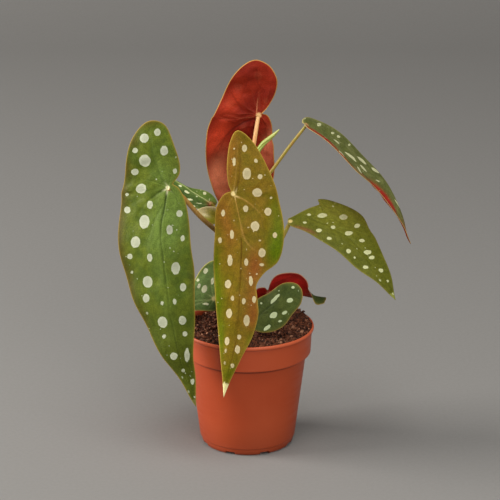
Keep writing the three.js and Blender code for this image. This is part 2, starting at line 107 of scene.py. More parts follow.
# %% Curves and soft steps
def smooth_rows(rows, t):
    """Catmull-Rom curve through rows of numbers, at t from 0 to the last row."""
    rows = np.asarray(rows, float)
    last = len(rows) - 1
    ends = np.vstack([2 * rows[0] - rows[1], rows, 2 * rows[-1] - rows[-2]])
    t = np.clip(np.asarray(t, float), 0, last)
    i = np.minimum(t.astype(int), last - 1)
    f = (t - i)[..., None]
    a, b, c, d = ends[i], ends[i + 1], ends[i + 2], ends[i + 3]
    return 0.5 * (2 * b + (c - a) * f + (2 * a - 5 * b + 4 * c - d) * f**2 + (3 * b - a - 3 * c + d) * f**3)


def bow(t, start, middle, end):
    """Quadratic curve: (1 - t)^2 start + 2 t (1 - t) middle + t^2 end."""
    return (1 - t) ** 2 * start + 2 * t * (1 - t) * middle + t**2 * end


def unit(v):
    """Vectors scaled to length one."""
    return v / np.maximum(np.linalg.norm(v, axis=-1, keepdims=True), 1e-9)


def step_between(low, high, x):
    """0 below low, 1 above high, and a smooth rise between."""
    t = np.clip((x - low) / (high - low), 0, 1)
    return t * t * (3 - 2 * t)


def hill(places, row):
    """Soft hill of height one: exp(-(da / reach a)^2 - (db / reach b)^2) from its middle."""
    a, b, reach_a, reach_b = row
    return np.exp(-(((places[:, 0] - a) / reach_a) ** 2) - ((places[:, 1] - b) / reach_b) ** 2)


LATTICE = 256  # random heights along each side of the lattice, after which it repeats


def lumps(x, y, size, seed):
    """Soft random hills of a given size: random heights on a square lattice, blended smoothly."""
    heights = np.random.default_rng(seed).random((LATTICE, LATTICE))
    u, v = np.asarray(x) / size + 97.0, np.asarray(y) / size + 61.0
    i, j = np.floor(u).astype(int), np.floor(v).astype(int)
    f, g = step_between(0, 1, u - i), step_between(0, 1, v - j)

    def pick(p, q):
        return heights[p % LATTICE, q % LATTICE]

    low = pick(i, j) * (1 - f) + pick(i + 1, j) * f
    high = pick(i, j + 1) * (1 - f) + pick(i + 1, j + 1) * f
    return (low * (1 - g) + high * g) * 2 - 1


def way_to_lines(points, starts, ends):
    """Distance from each flat point to each line piece, and how far along the piece it lies."""
    line = ends - starts
    reach = np.maximum((line**2).sum(1), 1e-9)
    along = ((points[:, None, :] - starts) * line).sum(2) / reach
    along = np.clip(along, 0, 1)
    nearest = starts + along[..., None] * line
    return np.linalg.norm(points[:, None, :] - nearest, axis=2), along


print("lumps lie between -1 and 1:", lumps(np.arange(4), np.arange(4), 3, 1).round(2))

# %% [markdown]
# ## Helpers for materials
#
# A material is a small graph of nodes. These helpers add one node at a time and take colours as they
# look on a screen, from 0 to 255, because that is how a maker reads them from a sample.


# %% Single nodes
def rgb(red, green, blue):
    """A screen colour as the linear colour that shaders use."""
    c = np.array([red, green, blue]) / 255
    c = np.where(c <= 0.04045, c / 12.92, ((c + 0.055) / 1.055) ** 2.4)
    return (*c.tolist(), 1.0)


def put(tree, kind, inputs=None, **settings):
    """Adds one shader node; inputs holds plain values, or the sockets that feed it."""
    node = tree.nodes.new("ShaderNode" + kind)
    for key, value in settings.items():
        setattr(node, key, value)
    for key, value in (inputs or {}).items():
        if isinstance(value, bpy.types.NodeSocket):
            tree.links.new(value, node.inputs[key])
        else:
            node.inputs[key].default_value = value
    return node


def blend(tree, factor, first, second, mode="MIX"):
    """Colour mix of first and second."""
    return put(tree, "Mix", {0: factor, 6: first, 7: second}, data_type="RGBA", blend_type=mode).outputs[2]


def maths(tree, operation, *values):
    """One arithmetic step."""
    return put(tree, "Math", dict(enumerate(values)), operation=operation).outputs[0]


def rise(tree, value, low, high, bottom=0.0, top=1.0):
    """Smooth rise from bottom to top while value goes from low to high."""
    inputs = {"Value": value, "From Min": low, "From Max": high, "To Min": bottom, "To Max": top}
    return put(tree, "MapRange", inputs, interpolation_type="SMOOTHSTEP").outputs[0]


def noise(tree, place, scale, detail):
    """Cloudy pattern from 0 to 1; detail counts the finer clouds laid over the first."""
    return put(tree, "TexNoise", {"Vector": place, "Scale": scale, "Detail": detail}).outputs["Fac"]


def stored(tree, name):
    """A number stored on the mesh's points."""
    return put(tree, "Attribute", attribute_name=name).outputs["Fac"]


print("mid grey on a screen is", round(rgb(128, 128, 128)[0], 3), "in light")


# %% Groups and materials
def new_group(name, colours, numbers=()):
    """A node group with named colour and number inputs, and three outputs."""
    group = bpy.data.node_groups.new(name, "ShaderNodeTree")
    sockets = [(label, "INPUT", "Color") for label in colours]
    sockets += [(label, "INPUT", "Float") for label in numbers]
    sockets += [("Color", "OUTPUT", "Color"), ("Roughness", "OUTPUT", "Float"),
                ("Height", "OUTPUT", "Float")]
    for label, way, kind in sockets:
        group.interface.new_socket(name=label, in_out=way, socket_type="NodeSocket" + kind)
    return group, group.nodes.new("NodeGroupInput").outputs


def close_group(group, color, roughness, height):
    """Leads the three results out of a group."""
    out = group.nodes.new("NodeGroupOutput").inputs
    for label, result in (("Color", color), ("Roughness", roughness), ("Height", height)):
        group.links.new(result, out[label])
    print(group.name, "group has", len(group.nodes), "nodes")


def new_material(name, group, values, bump, distance=0.001, **shader):
    """A Principled material whose colour, roughness and height come from a group."""
    material = bpy.data.materials.new(name)
    material.use_nodes = True
    tree = material.node_tree
    principled = tree.nodes["Principled BSDF"]
    node = tree.nodes.new("ShaderNodeGroup")
    node.node_tree = group
    for key, value in values.items():
        node.inputs[key].default_value = value
    tree.links.new(node.outputs["Color"], principled.inputs["Base Color"])
    tree.links.new(node.outputs["Roughness"], principled.inputs["Roughness"])
    raised = put(tree, "Bump", {"Height": node.outputs["Height"], "Strength": bump, "Distance": distance})
    tree.links.new(raised.outputs[0], principled.inputs["Normal"])
    for key, value in shader.items():
        principled.inputs[key.replace("_", " ")].default_value = value
    return material


# %% [markdown]
# ## Leaf surface
#
# A begonia leaf is a lopsided wing. It is drawn flat first, as a margin around the place where the
# stalk is seated, and then bent: the midrib follows a curve in space, the two halves fold and curl
# away from it, and the margin waves. The same numbers shape the solid model, so both agree.
#
# midrib: places in space from the lobe's end, over the stalk's seat, to the tip. face: which way the
# upper side looks. fold and curl: degrees that the halves turn, at the midrib and for each 30 mm.
# wave: heights of the waves on the two sides, their length, and where one crests. wide and narrow:
# the flat margin from the tip round the big lobe, and from the notch back to the tip. core: the flat
# place that the rings of the mesh close in on, where that isn't the seat.

# %% Leaf forms
LEAVES = {
    "leaf_left_large": dict(
        midrib=[(-84, -34, 309), (-69, -45, 253), (-74, -52, 208), (-69, -56, 158), (-60, -58, 104),
                (-45, -58, 54)],
        face=[(-0.25, -0.93, 0.25), (-0.3, -0.93, 0.2), (-0.3, -0.95, 0.05)],
        fold=[(-6, -6), (-10, -10), (-14, -12)], curl=(-8, -8), wave=(1.2, 1.6, 46, 10),
        wide=[(203, 0), (180, 6), (152, 18), (123, 30), (97, 39), (66, 45), (30, 47), (0, 46), (-28, 35),
              (-49, 21), (-60, 2), (-53, -12), (-30, -15), (-12, -13), (-3, -5)],
        narrow=[(-3, -5), (2, -11), (15, -18), (38, -24), (70, -26), (108, -22), (140, -16), (160, -11),
                (180, -7), (203, 0)]),
    "leaf_front_bronze": dict(
        midrib=[(-8, -30, 300), (-12, -42, 247), (-6, -52, 208), (-8, -64, 157), (-13, -70, 111),
                (-21, -72, 68)],
        face=[(0.05, -0.95, 0.25), (0.05, -0.95, 0.2), (0, -0.97, 0.1)],
        fold=[(-6, -8), (-8, -14), (-10, -16)], curl=(-6, -6), wave=(1.6, 1, 52, 40),
        wide=[(183, 0), (162, -4), (143, -9), (125, -16), (106, -19), (93, -17), (80, -15.3), (69, -22),
              (59, -34), (42, -39), (18, -40), (-5, -38), (-27, -28), (-46, -14), (-55, 0), (-45, 6),
              (-25, 7), (-10, 5), (-2, 2)],
        narrow=[(-2, 2), (1, 9), (12, 17), (31, 22), (58, 24), (90, 21), (120, 16), (147, 10), (168, 4),
                (183, 0)]),
    "leaf_top_red": dict(
        midrib=[(9, 10, 352), (10, 20, 301), (3, 27, 278), (-5, 33, 251), (-17, 38, 195)],
        face=[(0.1, 0.93, 0.3), (0, 0.93, 0.35), (-0.2, 0.93, 0.3)],
        fold=[(-6, -6), (-8, -8), (-10, -8)], curl=(-6, -6), wave=(1.4, 1.2, 40, 20),
        wide=[(111, 0), (98, -10), (79, -23), (56, -34), (30, -41), (4, -41), (-20, -32), (-38, -23),
              (-49, -12), (-53, -1), (-48, 11), (-36, 17), (-22, 15), (-10, 9), (-2, 3)],
        narrow=[(-2, 3), (0, 9), (13, 16), (35, 25), (60, 31), (83, 28), (99, 16), (111, 0)]),
    "leaf_upper_right": dict(
        midrib=[(45, 1, 303), (52, 0, 297.5), (66, -1, 289), (86, -2, 271.5), (106, -3, 251),
                (124, -4, 226), (138, -5, 208), (144, -5, 194)],
        face=[(0.4, -0.05, 0.9), (0.65, -0.05, 0.75), (0.72, -0.05, 0.7), (0.85, -0.05, 0.5)],
        fold=[(26, 6), (2, 4), (9, 4), (10, 10), (4, 8)], curl=(0, 2), wave=(2, 1, 73, 25),
        wide=[(146, 0), (136, -9), (120, -16), (98, -23), (70, -30), (42, -32), (18, -28), (3, -21),
              (-4, -12), (-5, -4), (-2, 2)],
        narrow=[(-2, 2), (1, 9), (12, 17), (32, 23), (58, 24), (80, 14), (100, 11), (118, 9), (136, 6),
                (146, 0)]),
    "leaf_right": dict(
        midrib=[(27, -2, 211), (38, -5, 210), (62, -12, 207), (87, -22, 197), (111, -34, 177),
                (131, -40, 149)],
        face=[(0.2, -0.5, 0.85), (0.3, -0.55, 0.78), (0.6, -0.55, 0.55)],
        fold=[(-2, -14), (-2, -16), (-2, -12)], curl=(-3, -5), wave=(1.2, 1, 44, 12), core=(30, -10),
        wide=[(123, 0), (109, -8), (95, -14), (80, -22), (68, -27), (60, -29), (50, -37), (38, -40),
              (25, -38), (16, -33), (18, -27), (12, -19), (4, -10), (-3, -3)],
        narrow=[(-3, -3), (0, 4), (14, 8), (34, 11), (58, 14), (84, 12), (106, 6), (123, 0)]),
    "leaf_low_right": dict(
        midrib=[(-2, -26, 125), (2, -26, 126), (20, -30, 136), (37, -32, 145), (50, -34, 151)],
        face=[(0.25, -0.75, 0.6), (0.25, -0.75, 0.6), (0.35, -0.75, 0.5)],
        fold=[(-6, -6), (-8, -8), (-8, -8)], curl=(-5, -5), wave=(0.8, 0.8, 30, 10),
        wide=[(53, 1), (48, 7.5), (37, 13), (27, 18), (17, 19.3), (7, 16.5), (0, 11), (-3, 5), (-2, 0)],
        narrow=[(-2, 0), (3, -9), (13, -14), (26, -15), (40, -17), (50, -13), (54, -6), (53, 1)]),
    "leaf_low_left": dict(
        midrib=[(-18, -12, 143), (-30, -13, 140), (-44, -15, 136), (-60, -18, 130), (-78, -22, 122)],
        face=[(-0.3, -0.95, 0.12), (-0.3, -0.95, 0.12), (-0.4, -0.9, 0.15)],
        fold=[(-6, -6), (-8, -8), (-8, -8)], curl=(-5, -5), wave=(1, 1, 34, 10),
        wide=[(52, 0), (40, 8), (25, 10), (13, 19), (4, 28), (-6, 33), (-16, 30), (-20, 18), (-16, 5),
              (-8, -2), (-1, -3)],
        narrow=[(-1, -3), (-3, -7), (1, -11), (9, -9), (20, -5), (36, -4), (52, 0)]),
    "leaf_behind_left": dict(
        midrib=[(-27, 8, 218), (-32, 6, 223), (-42, 4, 230), (-54, 2, 239), (-70, -2, 250),
                (-86, -8, 259)],
        face=[(0.2, -0.6, 0.8), (0.2, -0.6, 0.8), (0.3, -0.5, 0.8), (0.3, -0.5, 0.8)],
        fold=[(-10, -4), (-12, -30), (-12, -75)], curl=(-5, -8), wave=(1, 1, 34, 10),
        wide=[(70, 0), (52, -9), (34, -14), (18, -14), (7, -11), (0, -7), (-3, -2)],
        narrow=[(-3, -2), (-6, 3), (-6, 8), (2, 12), (12, 11), (22, 7), (34, 5), (52, 4), (70, 0)]),
    "leaf_low_back_red": dict(
        midrib=[(9, 6, 139), (19, 8, 139), (32, 12, 143), (44, 16, 142), (53, 17, 137), (60, 14, 133.5),
                (68, 9, 129)],
        face=[(0, 0.85, 0.5), (0, 0.85, 0.5), (0.2, 0.85, 0.4), (0.8, 0.25, 0.5), (0.45, -0.6, 0.65)],
        fold=[(-6, -6), (-8, -8), (-4, -4)], curl=(-5, -5), wave=(0.6, 0.6, 30, 10),
        wide=[(58, 0), (54, -9), (47, -12), (40, -13), (34, -15), (28, -16), (16, -14), (2, -14),
              (-8, -10), (-13, -2), (-11, 7), (-5, 9), (-1, 3)],
        narrow=[(-1, 3), (2, 12), (10, 20), (22, 20), (33, 13), (42, 6), (47, 7), (54, 7), (58, 0)]),
    "stipule": dict(
        midrib=[(-21, 3.5, 204), (-25, 1.5, 208.5), (-30, -1, 212.5), (-37, -4, 216.5), (-46, -6, 220.5)],
        face=[(-0.25, -0.85, 0.45), (-0.25, -0.85, 0.45)],
        fold=[(14, 20), (14, 20)], curl=(8, 12), wave=(0.2, 0.2, 20, 0), core=(8, 0),
        wide=[(25, 0), (18, -4), (11, -7), (4, -6), (-1, 0)],
        narrow=[(-1, 0), (2, 6.5), (7, 9.5), (13, 8.5), (20, 5), (25, 0)]),
}
print(len(LEAVES), "leaf forms")


# %% Bending a leaf
MIDRIB_STEPS = 480  # short steps by which a midrib's length is measured
SOFT_FOLD = 1.5  # distance from the midrib over which the fold sets in, so it makes no kink


def leaf_surface(leaf):
    """The bent sheet as a function of flat place (a, b) and of rho, the share of the way to the margin.

    Along the midrib the place is a Catmull-Rom curve. Across it, each half turns by
    fold + curl * |b| / 30 degrees, so its height and width are integrals of sine and cosine, and
    the waves add height * rho^2 * cos(2 pi (a - crest) / length).
    """
    last = len(leaf["midrib"]) - 1
    t = np.linspace(0, last, MIDRIB_STEPS + 1)
    steps = np.linalg.norm(np.diff(smooth_rows(leaf["midrib"], t), axis=0), axis=1)
    reach = np.concatenate([[0], np.cumsum(steps)])
    reach -= np.interp(1, t, reach)

    def spread(rows, at):
        return smooth_rows(rows, at * (len(rows) - 1) / last)

    def surface(a, b, rho):
        at = np.interp(a, reach, t)
        ahead = smooth_rows(leaf["midrib"], at + 1e-3) - smooth_rows(leaf["midrib"], at - 1e-3)
        tangent = unit(ahead)
        over = a - np.clip(a, reach[0], reach[-1])
        here = smooth_rows(leaf["midrib"], at) + over[..., None] * tangent
        normal = spread(leaf["face"], at)
        normal = unit(normal - (normal * tangent).sum(-1, keepdims=True) * tangent)
        side = np.cross(tangent, normal)
        fold = spread(leaf["fold"], at)
        tilt = np.radians(np.where(b > 0, fold[..., 1], fold[..., 0]))
        bend = np.radians(np.where(b > 0, leaf["curl"][1], leaf["curl"][0]) + 0.001) / 30
        width = np.sqrt(b**2 + SOFT_FOLD**2) - SOFT_FOLD
        lateral = (np.sin(tilt + bend * width) - np.sin(tilt)) / bend + np.abs(b) - width
        low, high, length, crest = leaf["wave"]
        ripple = np.where(b > 0, high, low) * rho**2 * np.cos((a - crest) / length * 2 * np.pi)
        height = (np.cos(tilt) - np.cos(tilt + bend * width)) / bend + ripple
        return here + (np.sign(b) * lateral)[..., None] * side + height[..., None] * normal

    return surface


def bent_sheet(leaf, flat, rho, step=0.3):
    """Places and normals of the bent sheet; a normal is the cross product of two short steps."""
    surface = leaf_surface(leaf)
    a, b = flat.T
    over_a = surface(a + step, b, rho) - surface(a - step, b, rho)
    over_b = surface(a, b + step, rho) - surface(a, b - step, rho)
    return surface(a, b, rho), unit(np.cross(over_b, over_a))


front_tip, _ = bent_sheet(LEAVES["leaf_front_bronze"], np.array([[183.0, 0.0]]), np.ones(1))
print("tip of the front leaf at", front_tip[0].round(1), "mm")


# %% Flat points of a leaf
def leaf_margin(leaf, spacing=1.7):
    """Flat margin, clockwise seen with the tip to the right, with a point about every spacing mm."""
    parts = []
    for rows in (leaf["wide"], leaf["narrow"]):
        rows = np.asarray(rows, float)
        lengths = np.linalg.norm(np.diff(rows, axis=0), axis=1)
        counts = np.maximum(1, np.round(lengths / spacing)).astype(int)
        shares = [i + np.arange(n) / n for i, n in enumerate(counts)]
        parts.append(smooth_rows(rows, np.concatenate(shares)))
    edge = np.vstack(parts)
    turn = np.roll(edge, -1, axis=0)
    area = (edge[:, 0] * turn[:, 1] - edge[:, 1] * turn[:, 0]).sum()
    return edge if area < 0 else edge[::-1]


def flat_rings(leaf, edge, rings):
    """Rings of flat points, core + share * (margin - core), and the share of each point."""
    core = np.array(leaf.get("core", (0, 0)), float)
    share = (np.arange(1, rings + 1) / rings) ** 0.9
    flat = core + share[:, None, None] * (edge - core)
    rho = np.concatenate([[0], np.repeat(share, len(edge))])
    return np.vstack([core[None], flat.reshape(-1, 2)]), rho


print("margin points of the front leaf:", len(leaf_margin(LEAVES["leaf_front_bronze"])))

# %% [markdown]
# ## Dots
#
# The cream dots are the plant's own marking and differ on every leaf, so the larger ones are placed
# one by one from the photograph and listed here, each as its place along and across the flat leaf,
# its length, its width and the degrees it is turned. The mesh stores how deep inside a dot each point
# lies, and the material draws a crisp edge from that. Sides that the photograph hides get dots too.

# %% Dots of each leaf
DOTS = {
    "leaf_left_large": [
        (-47, 9, 9, 8, 80), (-49, -4, 7, 6, 20), (-39, 21, 6, 5, 80), (-32, -5, 9, 7, 20),
        (-28, 15, 12, 11, 50), (-24, -13, 3, 2, 85), (-20, 28, 8, 7, 90), (-13, -9, 5, 4, 20),
        (-9, 9, 2, 2, 60), (0, 26, 14, 11, 25), (11, 41, 7, 4, 10), (18, 16, 9, 6, -5),
        (29, 39, 8, 6, 75), (20, -12, 6, 6, -15), (19, -1, 2, 2, 60), (34, 19, 11, 11, 80),
        (36, -6, 10, 6, -5), (43, -18, 8, 4, 0), (50, 27, 11, 9, 65), (53, -7, 2, 2, 15),
        (56, -10, 2, 2, 10), (62, 34, 7, 5, 75), (62, 13, 8, 6, 20), (72, -10, 12, 8, 10),
        (76, 35, 5, 3, 70), (84, 19, 12, 10, 45), (90, -14, 8, 6, 10), (99, 23, 9, 7, 35),
        (103, 7, 5, 4, 60), (102, -5, 6, 4, 10), (113, 25, 4, 3, 65), (121, 10, 12, 10, 40),
        (120, -9, 9, 7, 10), (134, 11, 6, 4, 65), (133, -9, 5, 5, 15), (152, 5, 9, 7, 60),
        (153, -7, 15, 5, 15), (167, 1, 5, 4, 40), (173, -4, 2, 2, 20), (174, 4, 3, 3, 60),
        (179, -4, 6, 4, 20), (187, 2, 4, 3, 60), (193, -2, 3, 3, 25)],
    "leaf_front_bronze": [
        (-40, -7, 7, 5, -5), (-39, 2, 2, 2, 60), (-28, 1, 9, 3, -5), (-30, -18, 4, 4, -60),
        (-18, -11, 11, 8, -5), (-16, -23, 5, 5, 90), (0, -21, 10, 9, -10), (8, -33, 4, 3, 0),
        (15, -9, 7, 5, 10), (22, -28, 7, 7, -85), (15, 11, 6, 4, 15), (23, 3, 2, 2, 65),
        (31, -14, 8, 8, 80), (35, 7, 10, 4, 5), (39, -31, 5, 4, -90), (40, 18, 7, 4, 5),
        (42, -17, 3, 2, -85), (49, -5, 2, 2, -80), (52, -19, 8, 7, -5), (59, 9, 11, 5, 0),
        (60, -5, 7, 4, -5), (62, -19, 5, 3, -90), (80, 10, 8, 6, 0), (76, -10, 10, 4, -5),
        (70, -15, 2, 2, -75), (92, 5, 5, 4, 0), (94, -5, 6, 4, -5), (92, -14, 7, 4, -5),
        (106, 7, 9, 6, 0), (111, -9, 11, 6, -5), (118, 11, 2, 2, 35), (131, 6, 8, 5, -5),
        (126, -4, 5, 4, -10), (137, -4, 8, 5, -10), (140, 6, 4, 3, -5), (151, 5, 4, 3, -5),
        (152, -2, 5, 4, -15)],
    "leaf_right": [
        (14, -11, 4, 3, -20), (24, -15, 9, 5, -40), (39, -24, 9, 6, -75), (27, -32, 3, 2, -80),
        (13, -1, 4, 3, -15), (37, -7, 5, 4, -55), (52, -23, 7, 4, -80), (28, 3, 6, 4, -20),
        (51, -9, 9, 5, -60), (40, 6, 5, 4, -25), (63, -12, 7, 4, -70), (53, 5, 2, 2, 55),
        (62, 7, 5, 5, -50), (74, -7, 9, 5, -70), (70, 7, 3, 3, 65), (80, -6, 7, 4, -70),
        (83, 6, 6, 4, -55), (94, -4, 7, 4, -65), (95, 4, 2, 2, -80), (100, 4, 3, 3, -75),
        (105, -3, 4, 3, -75), (117, -1, 4, 3, -75)],
    "leaf_low_right": [
        (29, -7, 14, 3.6, -20), (47, -10, 4, 3, 25), (51, -5, 2, 2, 50), (41, 0, 7, 4.6, 10),
        (22, 6, 8, 5.4, 0), (32, 8, 6, 3.6, 5), (25, 13, 4.4, 2.4, 10), (12, 14, 9, 3.8, -15),
        (15, -8.5, 2.6, 2.2, 45)],
    "leaf_low_left": [
        (0.2, 25.8, 6, 4.2, -55), (8.4, 20.1, 3.6, 2.8, -80), (-3, 15.5, 8, 3, -70),
        (9.1, 14.7, 5, 3.2, -55), (5.5, 10.7, 8, 5, -55), (8.1, -2.6, 7, 2.4, 20),
        (19.4, 5.3, 6, 3.2, -70), (30, 3, 5, 4, 0), (40, 1, 4, 3, 0), (-10, 10, 4, 3, 0)],
    "leaf_behind_left": [
        (25.9, -3.8, 6.6, 2.8, -15), (20.2, -8.5, 9, 2.2, -25), (33.8, -2.2, 4.6, 2.4, -25),
        (8.3, 8, 6, 3.6, -60), (15.1, -1.7, 3, 1.6, -40), (11, -6.7, 7.6, 1.4, -30),
        (14.8, -12.2, 6, 1.5, -25), (16.6, 4.6, 3.6, 1.6, -60), (12.8, 9.1, 3, 1.6, -60),
        (2.4, 4, 6, 1.4, -80), (40, 3, 6, 4, 0), (52, 0, 5, 3, 0), (60, -1, 3, 2, 0)],
    "leaf_upper_right": [
        (49, -4, 15, 5, -10), (31.5, -7, 8, 5, -30), (61, -17.5, 13, 6.4, -25), (65, -6, 9.5, 4.7, -10),
        (77, -24, 11, 5.6, -35), (112, -17, 13.5, 3.4, -10), (83, -11, 12, 2.6, -55),
        (11, -15.5, 14, 4.3, -80), (25.5, -18, 8.5, 3, -75), (32, -20.5, 9.5, 3.3, -75),
        (44.5, -24, 8, 2.6, -80), (-4, -8, 3, 1.6, -65), (38, 15, 9, 6, 50), (60, 12, 10, 5, 50),
        (20, 10, 6, 4, 30)],
    "leaf_top_red": [
        (-38, 0, 9, 7, 0), (-28, -18, 8, 7, 30), (-12, -26, 10, 8, 50), (-14, 6, 6, 5, 0),
        (10, -30, 9, 8, 80), (14, -12, 9, 7, 30), (20, 10, 8, 6, -30), (36, -24, 10, 8, 60),
        (34, 4, 7, 5, 0), (44, 20, 9, 7, -50), (56, -18, 9, 7, 50), (58, 6, 8, 6, 0), (74, -10, 8, 6, 30),
        (72, 20, 7, 5, -40), (88, 4, 6, 5, 0)],
    "leaf_low_back_red": [
        (-4, -8, 4, 3, 0), (12, -8, 5, 4, 20), (10, 10, 6, 4, -20), (26, 12, 5, 4, -30),
        (30, -4, 6, 4, 0), (44, 0, 4, 3, 0)],
}


FARTHEST = 5.0  # depths are cut off at this, inside a dot and outside


def dot_depth(places, dots):
    """How many mm inside the nearest dot each flat place lies; negative outside every dot."""
    if not dots:
        return np.full(len(places), -FARTHEST)
    a, b, long, short, turn = np.array(dots, float).T
    turn = np.radians(turn)
    u, v = places[:, :1] - a, places[:, 1:] - b
    along = (u * np.cos(turn) + v * np.sin(turn)) / (long / 2)
    across = (v * np.cos(turn) - u * np.sin(turn)) / (short / 2)
    return np.clip(((1 - np.hypot(along, across)) * short / 2).max(1), -FARTHEST, FARTHEST)


print(sum(len(rows) for rows in DOTS.values()), "dots placed by hand")

# %% [markdown]
# ## Veins
#
# Veins leave the midrib every few centimetres and bow towards the tip. Above, each one is a groove
# with the blade puffed up between; below, it is a ridge. The regular ones are worked out from the
# margin. Those that stand out in the photograph are drawn as well.

# %% Drawn veins of each leaf
# A vein is a bow: where it starts, the place it bends towards and where it ends, all flat, then its
# width and its strength. A strength above 0 is a dark crease, and one below 0 is a pale ridge.
VEINS = {
    "leaf_left_large": [
        (0, 0, 14, 5, 58, 0, 2.2, 0.9), (58, 0, 66, 0, 119, 1, 2.2, 0.5),
        (119, 1, 144, -1, 181, 1, 1.6, 0.35), (1, 1, 4, 16, 29, 26, 2.8, 0.6),
        (16, 4, 26, 9, 61, 17, 3.2, 0.35), (-2, 0, -19, 12, -59, 1, 3.2, 0.4),
        (-1, 1, -12, 17, -13, 36, 1.2, 0.3), (2, -1, 4, -8, 29, -18, 2, 0.3),
        (-2, -1, -8, -6, -41, -7, 1.2, 0.25), (42, 1, 65, 14, 92, 34, 2.2, 0.3),
        (55, 0, 74, -12, 111, -14, 1.6, 0.25), (91, 1, 107, 13, 133, 24, 1.8, 0.25)],
    "leaf_front_bronze": [
        (2, -1, 17, -3, 41, -1, 1.4, -0.6), (41, -1, 66, 0, 129, -2, 1.5, 0.65),
        (129, -2, 150, 0, 168, 1, 1.3, 0.5), (2, -1, 7, -14, 25, -22, 2.2, -0.6),
        (29, -2, 44, -1, 51, -15, 2, -0.6), (-1, -2, -18, -7, -47, -2, 2, 0.6),
        (-1, 0, -17, -3, -47, 0, 1.6, -0.4), (3, 0, 7, 7, 35, 16, 1.2, -0.3),
        (0, -2, -14, -14, -15, -27, 1.2, -0.2), (54, 0, 78, 7, 113, 11, 1.6, 0.25)],
    "leaf_top_red": [
        (4, -2, 11, -15, 42, -30, 2.6, 0.8), (-22, -24, -13, -20, -3, -14, 2, 0.5),
        (4, -5, 19, -9, 34, -5, 1.6, 0.4), (-32, -10, -19, -14, -9, -19, 1.8, 0.35),
        (-44, -1, -27, -3, -23, 5, 2, 0.4), (-1, -2, -9, -2, -16, -1, 1.1, -0.9),
        (2, -4, 10, -15, -2, -31, 0.9, -0.5), (3, 3, 14, 14, 56, 23, 1.6, 0.35),
        (40, -6, 53, -8, 75, -15, 2, 0.45), (-41, -29, -39, -23, -3, -8, 1.6, 0.3),
        (20, -14, 34, -26, 36, -38, 1.4, 0.4), (30, -22, 44, -28, 56, -27, 1.4, 0.35),
        (-20, -3, -30, 4, -42, 8, 1.4, 0.3), (-12, -18, -22, -26, -26, -31, 1.4, 0.35),
        (6, -22, 12, -32, 10, -39, 1.4, 0.35), (48, -6, 60, -2, 84, -3, 1.4, 0.3)],
    "leaf_upper_right": [
        (14, 2, 50, 4, 118, 0, 1.4, -0.5), (30, -14, 60, -16, 96, -14, 1.2, -0.35),
        (26, 10, 50, 9, 76, 5, 1.2, -0.35), (112, -8, 126, -6, 142, -1, 1.2, -0.45)],
    "leaf_low_right": [
        (6, 2, 22, -4, 45, -8, 2.2, 0.55), (28, -2, 38, -8, 44, -14, 1.8, 0.4),
        (14, 1, 30, 6, 46, 5, 1.8, 0.4)],
    "leaf_behind_left": [
        (0, 0, 20, 0, 66, 0, 1.4, -0.7)],
    "leaf_right": [
        (12, -8, 40, -4, 118, -2, 2, 0.5), (20, -10, 34, -14, 44, -30, 1.6, 0.35),
        (34, -6, 52, -12, 66, -24, 1.6, 0.35), (56, -5, 72, -8, 88, -16, 1.5, 0.3)],
}


def drawn_veins(places, rows):
    """Strength of the strongest drawn vein at each flat place.

    Each vein is a quadratic bow. Across it the strength falls as exp(-(distance / half width)^2),
    and along it by 1 - 0.6 t^2.
    """
    total = np.zeros(len(places))
    t = np.linspace(0, 1, 13)[:, None]
    for a0, b0, a1, b1, a2, b2, width, strength in rows:
        line = bow(t, np.array([a0, b0]), np.array([a1, b1]), np.array([a2, b2]))
        away, along = way_to_lines(places, line[:-1], line[1:])
        nearest = away.argmin(1)
        at = (nearest + along[np.arange(len(places)), nearest]) / 12
        bell = strength * (1 - 0.6 * at**2) * np.exp(-((away.min(1) / (0.5 * width)) ** 2))
        total = np.where(np.abs(bell) > np.abs(total), bell, total)
    return total


print(sum(len(rows) for rows in VEINS.values()), "veins drawn by hand")


# %% Regular veins
VEIN_SPACING = 26  # between the margin points that side veins aim at


def vein_lines(edge):
    """Veins as line pieces with a width each, from the flat margin.

    The midrib runs from lobe to tip. Side veins aim at evenly spaced margin points, start on the
    midrib at 0.62 a - 22 mm, and bow as quadratic curves that leave the midrib steeply.
    """
    last = edge[edge[:, 0].argmax()]
    lobe = min(edge[:, 0].min() * 0.9, -1)
    walk = np.concatenate([[0], np.cumsum(np.linalg.norm(np.diff(edge, axis=0), axis=1))])
    count = max(6, int(walk[-1] / VEIN_SPACING))
    aims = edge[np.searchsorted(walk, (np.arange(count) + 0.5) / count * walk[-1])]
    far = np.hypot(aims[:, 0], aims[:, 1]) > 0.16 * last[0]
    aims = aims[far & (np.abs(aims[:, 1]) > 4) & (aims[:, 0] < 0.92 * last[0])]
    t = np.linspace(0, 1, 11)[None, :, None]
    start = np.stack([np.maximum(0.62 * aims[:, 0] - 22, 0), 0 * aims[:, 0]], 1)[:, None]
    end = (0.95 * aims)[:, None]
    middle = np.concatenate([start[..., :1] + 0.3 * (end - start)[..., :1], 0.62 * end[..., 1:]], -1)
    side = bow(t, start, middle, end)
    starts, ends = side[:, :-1].reshape(-1, 2), side[:, 1:].reshape(-1, 2)
    widths = np.tile(1.15 * (1 - 0.7 * t[0, :-1, 0]), len(aims))
    rib = np.stack([np.linspace(lobe, last[0] * 0.985, 60), np.zeros(60)], 1)
    rib_widths = 1.6 * (1 - 0.65 * np.abs(rib[:-1, 0]) / last[0])
    return np.vstack([rib[:-1], starts]), np.vstack([rib[1:], ends]), np.concatenate([rib_widths, widths])


print("vein pieces of the front leaf:", len(vein_lines(leaf_margin(LEAVES["leaf_front_bronze"]))[2]))

# %% [markdown]
# ## Leaf mesh
#
# Rings of points close in from the margin to the seat, once above and once below. The gap between
# the two sheets is the leaf's thickness, and it thins out at the margin. A sheet with one side only
# would be quicker, but the red underside and the green face would then need to share one surface.


